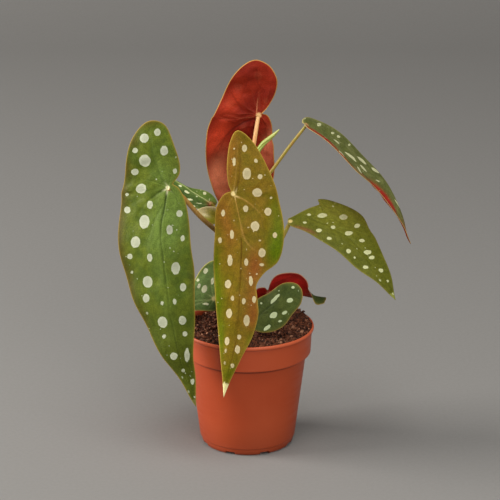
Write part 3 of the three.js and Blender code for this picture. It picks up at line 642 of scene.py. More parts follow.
# %% Faces of a leaf
def leaf_faces(rings, n):
    """Faces of both sheets and of the strip between them, and which of them lie beneath."""
    count = 1 + rings * n
    k, after = np.arange(n), (np.arange(n) + 1) % n
    fan = np.stack([np.zeros(n, int), 1 + k, 1 + after], 1)
    quads = 1 + grid_faces(rings, n)[:, [0, 3, 2, 1]]
    outer = 1 + (rings - 1) * n
    strip = np.stack([outer + k, outer + k + count, outer + after + count, outer + after], 1)
    all_quads = np.vstack([quads, strip, quads[:, ::-1] + count])
    all_fans = np.vstack([fan, fan[:, ::-1] + count])
    beneath = np.repeat([0, 1, 0, 1], [len(quads) + n, len(quads), n, n])
    return all_quads, all_fans, beneath


def patch_strength(places, patches):
    """Soft colour patches: each row is place a, b, reach along, reach across, strength."""
    total = np.zeros(len(places))
    for *row, strength in patches:
        total += strength * hill(places, row)
    return np.clip(total, 0, 1)


print("a leaf of 10 rings and 100 margin points has", len(leaf_faces(10, 100)[0]), "quads")

# %% Leaf piece
PLAIN_EDGE = 7  # blade inside the margin over which puckers fade out
PUFF_REACH = 5.5  # distance from a vein over which the blade swells
BOSS_HEIGHT, BOSS_REACH = 1.5, 2.4  # swelling beneath, where the stalk is seated


def leaf_piece(name, rings, patches=(), glows=(), blush=(), shine=(), swell=(), relief=1.0, ribs=0.2,
               ribs_below=1.0, seen_below=False, thick=0.55):
    """A two-sided leaf: rings of its flat margin, shrunk evenly to its core and then bent.

    Each point moves along the bent sheet's normal: up by the puffs between the veins, the wrinkles
    and the swells, down by the grooves of the veins, and then half the thickness to either side.
    patches and glows are soft colour areas above, blush and shine beneath. Each swell is a soft
    hill: place a and b, its reach both ways, and its height above the blade. relief scales the
    puckers; ribs is how much the regular veins show above, and ribs_below how much beneath.
    seen_below says that the drawn veins were read from the under side.
    """
    leaf = LEAVES[name]
    edge = leaf_margin(leaf)
    flat, rho = flat_rings(leaf, edge, rings)
    middle, normal = bent_sheet(leaf, flat, rho)
    starts, ends, widths = vein_lines(edge)
    away, _ = way_to_lines(flat, starts, ends)
    rib = (np.exp(-((away / (0.75 * widths)) ** 2)) * np.minimum(widths, 1)).max(1)
    puff = 1 - np.exp(-((away.min(1) / PUFF_REACH) ** 2))
    crease = drawn_veins(flat, VEINS.get(name, ()))
    rim = way_to_lines(flat, edge, np.roll(edge, -1, axis=0))[0].min(1) * (rho < 1)
    seat = np.hypot(flat[:, 0], flat[:, 1])
    inner = step_between(0, PLAIN_EDGE, rim)
    wrinkle = lumps(flat[:, 0], flat[:, 1], 10, 5) * 0.7 + lumps(flat[:, 0], flat[:, 1], 4.2, 6) * 0.28
    shift = relief * inner * ((0.15 + 0.75 * abs(ribs)) * puff - 0.5 * abs(ribs) * rib + wrinkle)
    groove = np.where(crease > 0, 1.0, 0.5) * crease * step_between(0, 3, rim)
    shift = shift + (groove if seen_below else -groove)
    for *row, height in swell:
        shift = shift + height * hill(flat, row) * step_between(0, 12, rim)
    half = thick / 2 * (1 - 0.55 * step_between(0.8, 0, rim))
    boss = BOSS_HEIGHT * np.exp(-((seat / BOSS_REACH) ** 2)) * step_between(0, 4, rim) if thick > 0.5 else 0
    top = middle + (shift + half)[:, None] * normal
    under = middle + (shift - half - boss - 0.35 * relief * ribs_below * inner * rib)[:, None] * normal

    def stronger(drawn, regular):
        return np.where(np.abs(drawn) > np.abs(regular), drawn, regular)

    above = stronger(0 * crease if seen_below else crease, ribs * rib)
    below = stronger(crease if seen_below else -np.abs(crease),
                     -0.6 * ribs_below * rib * step_between(80, 10, seat))
    both = {"dot": dot_depth(flat, DOTS.get(name, [])), "rim": rim, "seat": seat,
            "tip": edge[:, 0].max() - flat[:, 0]}
    numbers = {key: np.concatenate([values, values]) for key, values in both.items()}
    numbers["vein"] = np.concatenate([above, below])
    numbers["patch"] = np.concatenate([patch_strength(flat, patches), patch_strength(flat, blush)])
    numbers["glow"] = np.concatenate([patch_strength(flat, glows), patch_strength(flat, shine)])
    quads, fans, beneath = leaf_faces(rings, len(edge))
    piece = mesh_piece(name + "_blade", np.vstack([top, under]), quads, fans,
                       flat=np.vstack([flat, flat + [0, 400]]) / 100, numbers=numbers, under=beneath)
    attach(piece, "root")
    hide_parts(name)
    return piece


# %% [markdown]
# ## Leaf skins
#
# The upper skin is green to bronze with cream dots, a pale star at the stalk's seat, a thin golden
# margin and a fine grain. Two node groups draw the upper and the under side, and each leaf gives
# them its own colours. Patches and glows are soft areas in which a leaf turns another colour; on
# some leaves they are painted shade or painted light, as is a darker lower end. The patterns read
# the flat leaf as a map, so they bend with it and never slide.

# %% Upper skin: ground colour and veins
upper, given = new_group(
    "leaf upper side",
    ["Base", "Shade", "Patch", "Glow", "Vein", "Ridge", "Margin", "Dot", "Star", "Tip", "Low"],
    ["Freckles", "Pale tip", "Tip length", "Low reach"])
flat_map = put(upper, "UVMap", uv_map="flat").outputs[0]
cloud = noise(upper, flat_map, 7.0, 5.0)
color = blend(upper, rise(upper, cloud, 0.38, 0.62), given["Base"], given["Shade"])
# Glow and Patch are soft areas of another colour. On some leaves they are painted light or shade.
color = blend(upper, stored(upper, "glow"), color, given["Glow"])
# Painted shade on a leaf's lower end, which turns away from the light, setting in at the given distance from
# the tip.
low = rise(upper, maths(upper, "DIVIDE", stored(upper, "tip"), given["Low reach"]), 1.0, 0.3)
color = blend(upper, low, color, given["Low"])
color = blend(upper, stored(upper, "patch"), color, given["Patch"])
vein = stored(upper, "vein")
color = blend(upper, rise(upper, vein, 0.0, 1.0, 0.0, 0.85), color, given["Vein"])
color = blend(upper, rise(upper, vein, 0.0, -1.0, 0.0, 0.95), color, given["Ridge"])
mottle = noise(upper, flat_map, 26.0, 3.0)
color = blend(upper, 1.0, color, rise(upper, mottle, 0.35, 0.65, 0.9, 1.1), "MULTIPLY")
grain = noise(upper, flat_map, 120.0, 3.0)
color = blend(upper, 1.0, color, rise(upper, grain, 0.3, 0.7, 0.72, 1.22), "MULTIPLY")
print("ground colour uses", len(upper.nodes), "nodes")

# %% Upper skin: golden margin and pale tip
rim = stored(upper, "rim")
color = blend(upper, rise(upper, rim, 2.4, 0.5, 0.0, 0.16), color, given["Margin"])
color = blend(upper, rise(upper, rim, 0.6, 0.25, 0.0, 0.8), color, given["Margin"])
wobble = noise(upper, flat_map, 38.0, 2.0)
ragged = maths(upper, "MULTIPLY_ADD", wobble, 9.0, maths(upper, "ADD", stored(upper, "tip"), -4.5))
ragged = maths(upper, "DIVIDE", ragged, given["Tip length"])
pale = maths(upper, "MULTIPLY", rise(upper, ragged, 1.1, 0.9), given["Pale tip"])
color = blend(upper, pale, color, given["Tip"])
print("with margin and tip", len(upper.nodes), "nodes")

# %% Upper skin: dots, freckles and the star at the seat
# wobble makes the dots' edges uneven. Freckles are tiny dots in some cells of a random mosaic.
depth = maths(upper, "ADD", stored(upper, "dot"), maths(upper, "MULTIPLY_ADD", wobble, 1.1, -0.62))
cells = put(upper, "TexVoronoi", {"Vector": flat_map, "Scale": 26.0, "Randomness": 1.0})
odds = put(upper, "SeparateColor", {0: cells.outputs["Color"]}).outputs
freckle = maths(upper, "MULTIPLY_ADD", odds[1], 0.12, 0.055)
freckle = rise(upper, maths(upper, "SUBTRACT", freckle, cells.outputs["Distance"]), 0.0, 0.03)
chosen = maths(upper, "LESS_THAN", odds[0], given["Freckles"])
freckle = maths(upper, "MULTIPLY", maths(upper, "MULTIPLY", freckle, chosen), 0.9)
dots = maths(upper, "MAXIMUM", rise(upper, depth, 0.0, 0.34), freckle)
heart = rise(upper, depth, 0.5, 2.6, 1.0, 0.88)
silver = maths(upper, "MULTIPLY", heart, rise(upper, grain, 0.3, 0.7, 0.9, 1.05))
color = blend(upper, dots, color, blend(upper, 1.0, given["Dot"], silver, "MULTIPLY"))
seat = stored(upper, "seat")
rays = rise(upper, maths(upper, "ABSOLUTE", vein), 0.1, 0.8)
rays = maths(upper, "MULTIPLY", rays, rise(upper, seat, 8.0, 1.5, 0.0, 0.75))
star = maths(upper, "MAXIMUM", rise(upper, seat, 2.8, 1.3), rays)
color = blend(upper, star, color, given["Star"])
papillae = put(upper, "TexVoronoi", {"Vector": flat_map, "Scale": 95.0}).outputs["Distance"]
height = maths(upper, "ADD", maths(upper, "MULTIPLY", papillae, -0.6), maths(upper, "MULTIPLY", dots, 0.25))
close_group(upper, color, rise(upper, grain, 0.3, 0.7, 0.6, 0.46), height)

# %% [markdown]
# ## Red undersides
#
# Angel-wing leaves are red beneath, where light that has passed the green layer is caught once more.
# The skin is plainer than above: clouds of two reds, dark creases, pale ribs, and a fine net of
# veinlets that only the bump shows. The dots shine through very faintly.

# %% Under skin
under, given = new_group(
    "leaf under side", ["Base", "Shade", "Patch", "Glow", "Crease", "Vein", "Seat", "Margin"])
flat_map = put(under, "UVMap", uv_map="flat").outputs[0]
cloud = noise(under, flat_map, 4.0, 5.0)
color = blend(under, rise(under, cloud, 0.35, 0.65), given["Base"], given["Shade"])
# Glow and Patch come from the mesh's soft areas; on the top red leaf they are painted light.
color = blend(under, stored(under, "glow"), color, given["Glow"])
color = blend(under, stored(under, "patch"), color, given["Patch"])
faint = maths(under, "MULTIPLY", rise(under, stored(under, "dot"), -0.8, 0.8), 0.05)
color = blend(under, faint, color, given["Vein"])
vein = stored(under, "vein")
color = blend(under, rise(under, vein, 0.0, 1.0, 0.0, 0.8), color, given["Crease"])
color = blend(under, rise(under, vein, 0.0, -1.0, 0.0, 0.9), color, given["Vein"])
grain = noise(under, flat_map, 110.0, 3.0)
color = blend(under, 1.0, color, rise(under, grain, 0.3, 0.7, 0.82, 1.14), "MULTIPLY")
color = blend(under, rise(under, stored(under, "seat"), 3.4, 1.6), color, given["Seat"])
color = blend(under, rise(under, stored(under, "rim"), 0.8, 0.35), color, given["Margin"])
net = put(under, "TexVoronoi", {"Vector": flat_map, "Scale": 34.0}, feature="DISTANCE_TO_EDGE").outputs[0]
close_group(under, color, rise(under, net, 0.0, 0.1, 0.5, 0.6), rise(under, net, 0.12, 0.0, 0.0, 0.6))

# %% [markdown]
# ## Colours of the leaves
#
# Young leaves open bronze and turn green as they age, so each leaf has its own set. Base and Shade
# are its two clouds, Patch and Glow its soft areas, and the rest name a mark.

# %% Colours above
SKINS = {
    # green: Patch darkens the large left leaf's margin, partly its brown colour and partly painted shade.
    "green": dict(
        Base=rgb(96, 108, 30), Shade=rgb(80, 96, 28), Patch=rgb(80, 68, 16), Glow=rgb(104, 126, 54),
        Vein=rgb(46, 62, 18), Ridge=rgb(140, 160, 84), Margin=rgb(170, 140, 56), Dot=rgb(186, 190, 162),
        Star=rgb(236, 232, 184), Tip=rgb(150, 150, 90), Freckles=0.22),
    "bronze": dict(
        Base=rgb(134, 106, 24), Shade=rgb(118, 100, 16), Patch=rgb(150, 90, 34), Glow=rgb(94, 112, 2),
        Vein=rgb(92, 58, 14), Ridge=rgb(190, 146, 70), Margin=rgb(196, 162, 66), Dot=rgb(214, 198, 152),
        Star=rgb(245, 220, 150), Tip=rgb(238, 228, 164), Freckles=0.42),
    # olive: Glow is painted light on the right leaf's upper part.
    "olive": dict(
        Base=rgb(101, 103, 30), Shade=rgb(90, 94, 24), Patch=rgb(124, 84, 44), Glow=rgb(144, 146, 52),
        Vein=rgb(72, 78, 18), Ridge=rgb(150, 150, 80), Margin=rgb(150, 140, 60), Dot=rgb(206, 208, 156),
        Star=rgb(210, 190, 120), Tip=rgb(158, 164, 76), Freckles=0.12),
    "streaked": dict(
        Base=rgb(112, 116, 64), Shade=rgb(96, 102, 50), Patch=rgb(166, 44, 30), Glow=rgb(128, 132, 72),
        Vein=rgb(66, 74, 30), Ridge=rgb(158, 160, 100), Margin=rgb(190, 176, 112), Dot=rgb(208, 208, 160),
        Star=rgb(200, 150, 100), Tip=rgb(214, 186, 130), Freckles=0.15),
    "mossy": dict(
        Base=rgb(80, 90, 40), Shade=rgb(66, 78, 34), Patch=rgb(98, 116, 60), Glow=rgb(80, 92, 44),
        Vein=rgb(40, 52, 24), Ridge=rgb(140, 164, 96), Margin=rgb(168, 140, 66), Dot=rgb(190, 202, 156),
        Star=rgb(190, 190, 120), Tip=rgb(110, 120, 64), Freckles=0.1),
    # shaded: Glow is painted light on the low left leaf.
    "shaded": dict(
        Base=rgb(104, 128, 66), Shade=rgb(88, 114, 56), Patch=rgb(98, 116, 60), Glow=rgb(138, 168, 94),
        Vein=rgb(52, 72, 34), Ridge=rgb(196, 214, 140), Margin=rgb(200, 188, 100), Dot=rgb(244, 250, 204),
        Star=rgb(220, 210, 140), Tip=rgb(130, 140, 80), Freckles=0.3),
    "young": dict(
        Base=rgb(110, 140, 62), Shade=rgb(96, 124, 54), Patch=rgb(110, 38, 26), Glow=rgb(80, 104, 50),
        Vein=rgb(70, 96, 40), Ridge=rgb(220, 232, 156), Margin=rgb(180, 186, 100), Dot=rgb(240, 246, 196),
        Star=rgb(200, 150, 100), Tip=rgb(130, 140, 76), Freckles=0.2),
}
print(len(SKINS), "sets of colours above")

# %% Colours beneath
BACKS = {
    # red: Patch and Glow show only on the top red leaf, where they are painted light: a salmon glow of light
    # through the leaf and a brighter red.
    "red": dict(
        Base=rgb(158, 44, 22), Shade=rgb(136, 34, 18), Patch=rgb(255, 148, 108), Glow=rgb(216, 70, 40),
        Crease=rgb(88, 18, 9), Vein=rgb(218, 134, 92), Seat=rgb(246, 196, 132), Margin=rgb(200, 144, 72)),
    "deep red": dict(
        Base=rgb(200, 42, 34), Shade=rgb(170, 33, 27), Patch=rgb(92, 93, 64), Glow=rgb(190, 60, 40),
        Crease=rgb(84, 14, 12), Vein=rgb(200, 84, 66), Seat=rgb(200, 120, 90), Margin=rgb(214, 150, 126)),
}
print(len(BACKS), "sets of colours beneath")

# %% [markdown]
# ## Leaves of the plant
#
# Every leaf is made by the same function. What differs is its colours, how finely it is cut, and
# where its soft colour areas lie: each is a place a and b, its reach both ways, and a strength.

# %% How each leaf looks
LEAF_LOOKS = {
    # The large left leaf: low is painted shade on its lower end, and its patches darken the wide margin and
    # the lower narrow side, partly a brown margin and partly painted shade where the blade turns from the
    # light.
    "leaf_left_large": dict(
        rings=64, skin="green", slot="green_leaf", ribs=0.15, tip=(0.4, 8), low=(rgb(74, 82, 18), 120),
        patches=[(-61, 2, 6, 15, 0.8), (-49, 22, 8, 9, 0.8), (-28, 37, 13, 8, 0.9), (0, 47, 24, 8, 0.9),
                 (48, 47, 30, 8, 0.9), (90, 41, 24, 8, 0.8), (125, 31, 20, 6, 0.7),
                 (89, -25, 14, 5, 0.5)],
        glows=[(35, 6, 34, 9, 0.8), (31, -9, 30, 9, 0.9), (-10, 0, 20, 8, 0.5), (100, 2, 36, 7, 0.25)]),
    "leaf_front_bronze": dict(
        rings=60, skin="bronze", slot="bronze_leaf", ribs=0.1, tip=(1, 13),
        patches=[(-40, 4, 16, 7, 0.5), (-16, 6, 14, 6, 0.6), (12, 11, 16, 7, 0.45), (36, 9, 18, 6, 0.45),
                 (63, -13, 13, 8, 0.9), (93, -12, 22, 7, 0.6), (110, -15, 14, 5, 0.6)],
        glows=[(64, 24, 20, 6, 0.9), (100, 19, 26, 6.5, 1), (136, 12, 22, 4.5, 0.9),
               (51, -30, 14, 10, 0.9), (128, -15, 16, 4.5, 0.8), (160, 0, 13, 8, 0.6),
               (30, -35, 26, 7, 0.6)]),
    # Its first three blush patches and its shine are painted light on the red under side: a salmon glow
    # where light shines through the leaf, and a brighter red on the wide half.
    "leaf_top_red": dict(
        rings=56, skin="green", slot="red_leaf", relief=1.7, ribs=0.25, ribs_below=0.3, seen_below=True,
        tip=(0.2, 8), swell=[(62, -12, 24, 14, -2)],
        blush=[(62, -22, 16, 9, 1), (80, -13, 14, 9, 1), (96, -4, 10, 8, 0.7), (21, 18, 22, 7, 0.3),
               (48, 22, 26, 7, 0.3), (21, 15, 14, 3, 0.4)],
        shine=[(25, -28, 14, 8, 0.8), (38, -34, 14, 7, 0.9), (-8, -28, 9, 7, 0.6),
               (-18, -20, 9, 7, 0.5)]),
    "leaf_upper_right": dict(
        rings=46, skin="streaked", slot="green_leaf", ribs=0.3, tip=(0.9, 4),
        patches=[(3, 8, 6, 4, 1.2), (12, 14, 9, 6, 1.8), (25, 18, 9, 6.5, 1.6), (38, 22, 10, 4.5, 0.9),
                 (55, 23, 16, 3, 0.6), (72, 15, 10, 3.5, 0.8), (81, 7, 6, 6, 1.4), (89, 4, 7, 7, 2),
                 (98, 1.5, 7, 7, 2), (107, 1, 6, 5.5, 1.6), (118, 7, 12, 3, 0.6),
                 (146, -1, 15, 12, 1.3)]),
    # Its glows are painted light: a lighter upper part, where the blade turns back from the lamps.
    "leaf_right": dict(
        rings=44, skin="olive", slot="olive_leaf", ribs=0.25, tip=(0.6, 7),
        patches=[(7, 6.5, 5, 2.2, 1), (14, 6.7, 6, 2.2, 1), (22, 7, 6, 2, 0.6)],
        glows=[(30, -26, 22, 16, 0.9), (45, -6, 26, 6, 0.2)]),
    "leaf_low_right": dict(
        rings=30, skin="mossy", slot="blue_leaf", ribs=0.15,
        glows=[(10, 0, 14, 10, 0.4)]),
    # Its glow is painted light: a lighter area near the seat, on the wide half.
    "leaf_low_left": dict(
        rings=30, skin="shaded", slot="blue_leaf", ribs=-0.35,
        glows=[(2, 16, 16, 11, 0.8)]),
    "leaf_behind_left": dict(
        rings=32, skin="young", slot="green_leaf", ribs=-0.2,
        patches=[(-3, 0, 4, 3, 1), (1, -2, 4, 3, 0.9)],
        glows=[(8, -8, 12, 6, 1), (24, -9, 14, 6, 1), (42, -8, 16, 6, 0.8)]),
    "leaf_low_back_red": dict(
        rings=32, skin="mossy", slot="red_leaf", ribs=0.3, ribs_below=0.3, back="deep red",
        blush=[(54, -2, 12, 16, 1), (46, -12, 6, 5, 0.8), (36, 18, 8, 5, 0.5)]),
}
print(len(LEAF_LOOKS), "leaves")


# %% Leaf pieces
def upper_skin(name, colours, tip=(0, 8), low=None, **settings):
    """Upper side material. tip: how pale the tip is and its length. low: painted shade on the lower end,
    its colour and the distance from the tip where it begins.
    """
    shade_colour, shade_reach = low or (colours["Base"], 1)
    marks = {"Pale tip": tip[0], "Tip length": tip[1], "Low": shade_colour, "Low reach": shade_reach}
    return new_material(name, upper, {**colours, **marks}, **settings)


backs = {name: new_material("leaf back " + name, under, colours, bump=0.35, distance=0.0005,
                            Specular_IOR_Level=0.14) for name, colours in BACKS.items()}
for name, look in LEAF_LOOKS.items():
    shape = dict(look)
    skin, back, slot = shape.pop("skin"), shape.pop("back", "red"), shape.pop("slot")
    tip, low = shape.pop("tip", (0, 8)), shape.pop("low", None)
    piece = leaf_piece(name, **shape)
    piece.data.materials.append(upper_skin(name + " upper side", SKINS[skin], tip, low, bump=0.6,
                                           distance=0.0005, Specular_IOR_Level=0.1))
    piece.data.materials.append(backs[back])

# %% [markdown]
# ## Stalks and canes
#
# A tube is a circle carried along a curve. The circle is turned by the direction that the curve
# bends in least, so it never twists. Canes swell at their joints and keep a ring where a leaf grew.


# %% Tubes
def tube(name, path, sides, steps, shape=None, ends=(0.0, 0.0)):
    """A closed tube along a smooth path of (x, y, z, radius) rows.

    Each point lies at centre + radius * (cos(turn) * across + sin(turn) * other), where across and
    other stand square to the curve.
    shape(walk, turn) scales the radius, from the mm walked along the curve and the turning angle.
    ends lengthens the first and last end by so many mm.
    """
    rows = smooth_rows(path, np.linspace(0, len(path) - 1, steps + 1))
    centre, radius = rows[:, :3].copy(), rows[:, 3]
    ahead = unit(np.gradient(centre, axis=0))
    centre[0] -= ends[0] * ahead[0]
    centre[-1] += ends[1] * ahead[-1]
    still = np.linalg.svd(ahead)[2][-1]
    across = unit(np.cross(ahead, still))
    other = np.cross(ahead, across)
    turn = np.arange(sides) / sides * 2 * np.pi
    walk = np.concatenate([[0], np.cumsum(np.linalg.norm(np.diff(centre, axis=0), axis=1))])
    scale = np.ones((steps + 1, sides)) if shape is None else shape(walk[:, None], turn[None, :])
    reach = (radius[:, None] * scale)[..., None]
    points = centre[:, None] + reach * (np.cos(turn)[None, :, None] * across[:, None]
                                        + np.sin(turn)[None, :, None] * other[:, None])
    points = np.vstack([points.reshape(-1, 3), centre[:1], centre[-1:]])
    along = np.concatenate([np.repeat(walk / walk[-1], sides), [0, 1]])
    quads = grid_faces(steps + 1, sides)
    piece = mesh_piece(name, points, quads, end_caps(steps + 1, sides), numbers={"along": along})
    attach(piece, "root")
    return piece


def end_caps(rows, sides):
    """Fans of triangles that close the first and last row of a grid on the two points after it."""
    k = np.arange(sides)
    after, first = (k + 1) % sides, rows * sides
    last_row = (rows - 1) * sides
    return np.vstack([np.stack([np.full(sides, first), after, k], 1),
                      np.stack([np.full(sides, first + 1), last_row + k, last_row + after], 1)])


# %% [markdown]
# ## Stem skin
#
# Canes and stalks have a fleshy skin, streaked along its length, and old canes have pale flecks, the
# pores they breathe through. A picture wrapped round each stem would show a seam and stretch in the
# bends. Noise that is drawn out upwards does neither, and one group serves every stem.

# %% Stem skin
stem, given = new_group("stem skin", ["Low", "High", "Flush"], ["Flecks"])
place = put(stem, "TexCoord").outputs["Object"]
streak_map = put(stem, "Mapping", {"Vector": place, "Scale": (900.0, 900.0, 120.0)}).outputs[0]
streaks = noise(stem, streak_map, 1.0, 3.0)
color = blend(stem, stored(stem, "along"), given["Low"], given["High"])
color = blend(stem, rise(stem, streaks, 0.45, 0.75, 0.0, 0.7), color, given["Flush"])
cells = put(stem, "TexVoronoi", {"Vector": place, "Scale": 420.0}).outputs["Distance"]
flecks = maths(stem, "MULTIPLY", rise(stem, cells, 0.22, 0.12), given["Flecks"])
color = blend(stem, flecks, color, rgb(196, 182, 140))
close_group(stem, color, rise(stem, streaks, 0.2, 0.8, 0.38, 0.5), streaks)


def stem_skin(name, low, high, flush, flecks=0.0):
    """Stem material from the colour at its foot, at its end, and of its flushed streaks."""
    colours = dict(Low=low, High=high, Flush=flush, Flecks=flecks)
    return new_material(name, stem, colours, bump=0.2, distance=0.0003)


# %% [markdown]
# ## Canes
#
# A cane is a row of joints, each with a ring where a leaf once grew. Rings could be set on one by one,
# but a line would show round each. Here the tube's own radius swells, so the skin runs through.

# %% Canes
# Each cane: its path as x, y, z and radius, and how far up it the joints are.
CANES = {
    "cane_main": ([(-9, 8, 84, 3.6), (-9, 8, 98, 3.6), (-8, 8, 122, 4.2), (-7, 9, 138, 3.4), (-5, 9, 158, 4),
                   (-4, 9, 170, 3.2), (-3, 9, 186, 3.6), (-2, 9, 198, 2.9), (-1, 9, 214, 3.4),
                   (0, 9, 224, 2.7), (1, 9, 238, 2.9), (2, 8.5, 248, 2.4), (4, 8, 256, 1.6)],
                  (39, 75, 103, 131, 155)),
    "cane_side": ([(-19, 5, 86, 3), (-19, 5, 104, 3), (-20, 5, 126, 3.7), (-21, 5, 142, 2.9),
                   (-22, 5, 166, 3.4), (-23, 5, 180, 2.7), (-23, 5, 194, 3.2), (-23, 5, 204, 2.4),
                   (-23, 5, 212, 2.4), (-23, 5, 216, 1.4)], (41, 81, 109, 124)),
}


def ringed(joints):
    """Radius factor: at each joint a raised ring, 0.12 high, and a fine groove, 0.07 deep, above it."""
    def factor(walk, turn):
        gap = walk - np.array(joints)[:, None, None]
        ridge = 0.12 * np.exp(-((gap / 0.9) ** 2)) - 0.07 * np.exp(-(((gap - 1.9) / 0.8) ** 2))
        return 1 + ridge.sum(0) + 0 * turn

    return factor


cane_skin = stem_skin("cane skin", rgb(118, 86, 46), rgb(124, 128, 56), rgb(128, 70, 44), 0.8)
for name, (path, joints) in CANES.items():
    cane = tube(name + "_stem", path, sides=28, steps=260, shape=ringed(joints))
    cane.data.materials.append(cane_skin)
    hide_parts(name)

# %% [markdown]
# ## Stalks
#
# Each leaf has one stalk, which leaves the cane at a joint and thins towards the blade. The same tube
# makes it, from inside the cane to the leaf's seat. It ends just beneath the blade, in the swelling
# there, so its end never shows through the upper side.

# %% Stalks
STALKS = {
    "stalk_left_large": [
        (-23, 5, 194, 2.3), (-29, -4, 202, 2.2), (-42, -24, 221, 2.1), (-57, -37, 243, 2),
        (-69, -45, 253, 1.8)],
    "stalk_front_bronze": [
        (-1, 8, 214, 2.2), (-3, -6, 230, 2), (-7, -26, 243, 1.9), (-12, -42.5, 247.3, 1.7)],
    "stalk_top_red": [
        (1, 9, 238, 2.2), (2.5, 13, 250, 2.1), (4, 14, 264, 2), (6, 14, 277, 1.8), (8, 16, 290, 1.8),
        (10, 20.5, 301.5, 1.6)],
    "stalk_upper_right": [
        (0, 9, 226, 2), (10, 9, 237, 1.8), (21, 8, 252, 1.6), (37, 4, 276, 1.5), (48, 1, 291.5, 1.4),
        (52.2, 0.3, 297.3, 1.2)],
    "stalk_right": [
        (-4, 8, 158, 2.2), (9, 5, 164, 2), (22, 1, 176, 1.9), (31, -3, 194, 1.9), (38, -5, 209.6, 1.7)],
    "stalk_low_right": [
        (-8, 6, 124, 2), (-5, -8, 129, 1.8), (0, -20, 128, 1.7), (2.5, -26.5, 126.5, 1.5)],
    "stalk_low_left": [
        (-20, 5, 127, 2), (-26, -3, 134, 1.8), (-30, -13, 140, 1.5)],
    "stalk_behind_left": [
        (-23, 5, 210, 1.8), (-27, 7, 216, 1.6), (-32.5, 5.6, 223.5, 1.4)],
    "stalk_low_back_red": [
        (-7, 9, 134, 2), (2, 10, 138, 1.8), (11, 9, 139, 1.7), (20, 8, 139.5, 1.5)],
}
UNDER_BLADE = 1.3  # how far a stalk stops short of its leaf's middle sheet
BEHIND_NOTCH = 2.2  # the same where the leaf's notch would show the stalk's end
amber_stalk = stem_skin("stalk skin amber", rgb(162, 126, 48), rgb(174, 130, 60), rgb(190, 162, 102))
gold_stalk = stem_skin("stalk skin golden", rgb(244, 170, 96), rgb(250, 200, 136), rgb(216, 128, 80))
green_stalk = stem_skin("stalk skin green", rgb(172, 142, 54), rgb(154, 146, 56), rgb(176, 112, 56))
STALK_SKINS = {"stalk_left_large": amber_stalk, "stalk_top_red": gold_stalk}
for name, path in STALKS.items():
    short = BEHIND_NOTCH if name == "stalk_left_large" else UNDER_BLADE
    stalk = tube(name + "_stem", path, sides=20, steps=80, ends=(0, -short))
    stalk.data.materials.append(STALK_SKINS.get(name, green_stalk))
    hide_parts(name)

# %% [markdown]
# ## Growing tip and stipule
#
# The youngest leaf is still rolled up in its sheath: a flattened spindle with a spiral seam. The
# stipule is the papery scale that covered an earlier bud, boat-shaped and pale at its edges. It is a
# small leaf in form, so the leaf's own function makes it.

# %% Growing tip
BUD = [(4, 8, 256, 1.8), (8.5, 8, 269, 2), (13.5, 8, 277, 2.1), (17.5, 7, 281.2, 1.9), (23, 5, 286.4, 1.5),
       (28, 2, 292.3, 0.5)]


def rolled(walk, turn):
    """Radius factor of a rolled leaf: an oval with one deep seam that winds slowly round."""
    seam = np.cos(turn - 1.2 - walk / 22)
    return 1 + 0.12 * np.cos(2 * turn) - 0.28 * np.exp((seam - 1) / 0.03)


bud = tube("growing_tip_bud", BUD, sides=40, steps=90, shape=rolled)
bud.data.materials.append(stem_skin("young shoot", rgb(132, 166, 48), rgb(176, 180, 96), rgb(160, 166, 74)))
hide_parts("growing_tip")

# %% Stipule
PAPER = dict(Base=rgb(178, 176, 30), Shade=rgb(158, 158, 20), Patch=rgb(246, 236, 180),
             Glow=rgb(160, 176, 84), Vein=rgb(110, 112, 30), Ridge=rgb(190, 190, 110),
             Margin=rgb(226, 214, 160), Dot=rgb(190, 190, 120), Star=rgb(160, 158, 60),
             Tip=rgb(214, 200, 140), Freckles=0.0)
pale_edges = [(23, 2, 8, 6, 1), (12, 8.5, 14, 2.2, 1), (18, -1, 6, 1.6, 0.8)]
stipule = leaf_piece("stipule", rings=24, patches=pale_edges, relief=0.1, ribs=0.1, thick=0.5)
stipule_skin = upper_skin("stipule paper", PAPER, tip=(0.8, 7), bump=0.2, distance=0.0003)
stipule.data.materials.append(stipule_skin)
stipule.data.materials.append(stipule_skin)

# %% [markdown]
# ## Pot
#
# A nursery pot is moulded in one thin skin: a rolled lip, a tapered collar, a step, a tapered body
# and a small foot with drain notches. A profile turned about the axis gives it. Notches cut into it
# afterwards would leave ragged triangles, so they are pressed up into the foot where the turning
# angle passes them.

# %% Pot sizes and profile
RIM, COLLAR_FOOT, BODY_TOP, BODY_FOOT, BASE = 60, 57.1, 53, 43.1, 41.4  # radii from the top down
HEIGHT, STEP, FOOT = 111, 86, 6  # heights of the lip, the step and the foot
WALL, FLOOR = 1.2, 1.6  # thickness of the wall and of the floor
NOTCHES, NOTCH_WIDTH, NOTCH_HEIGHT, NOTCH_INNER = 8, 9, 2.6, 33


def inside(z):
    """Inner radius of the tapered body at height z."""
    return BODY_FOOT - WALL + (BODY_TOP - BODY_FOOT) / (STEP - FOOT) * (z - FOOT)


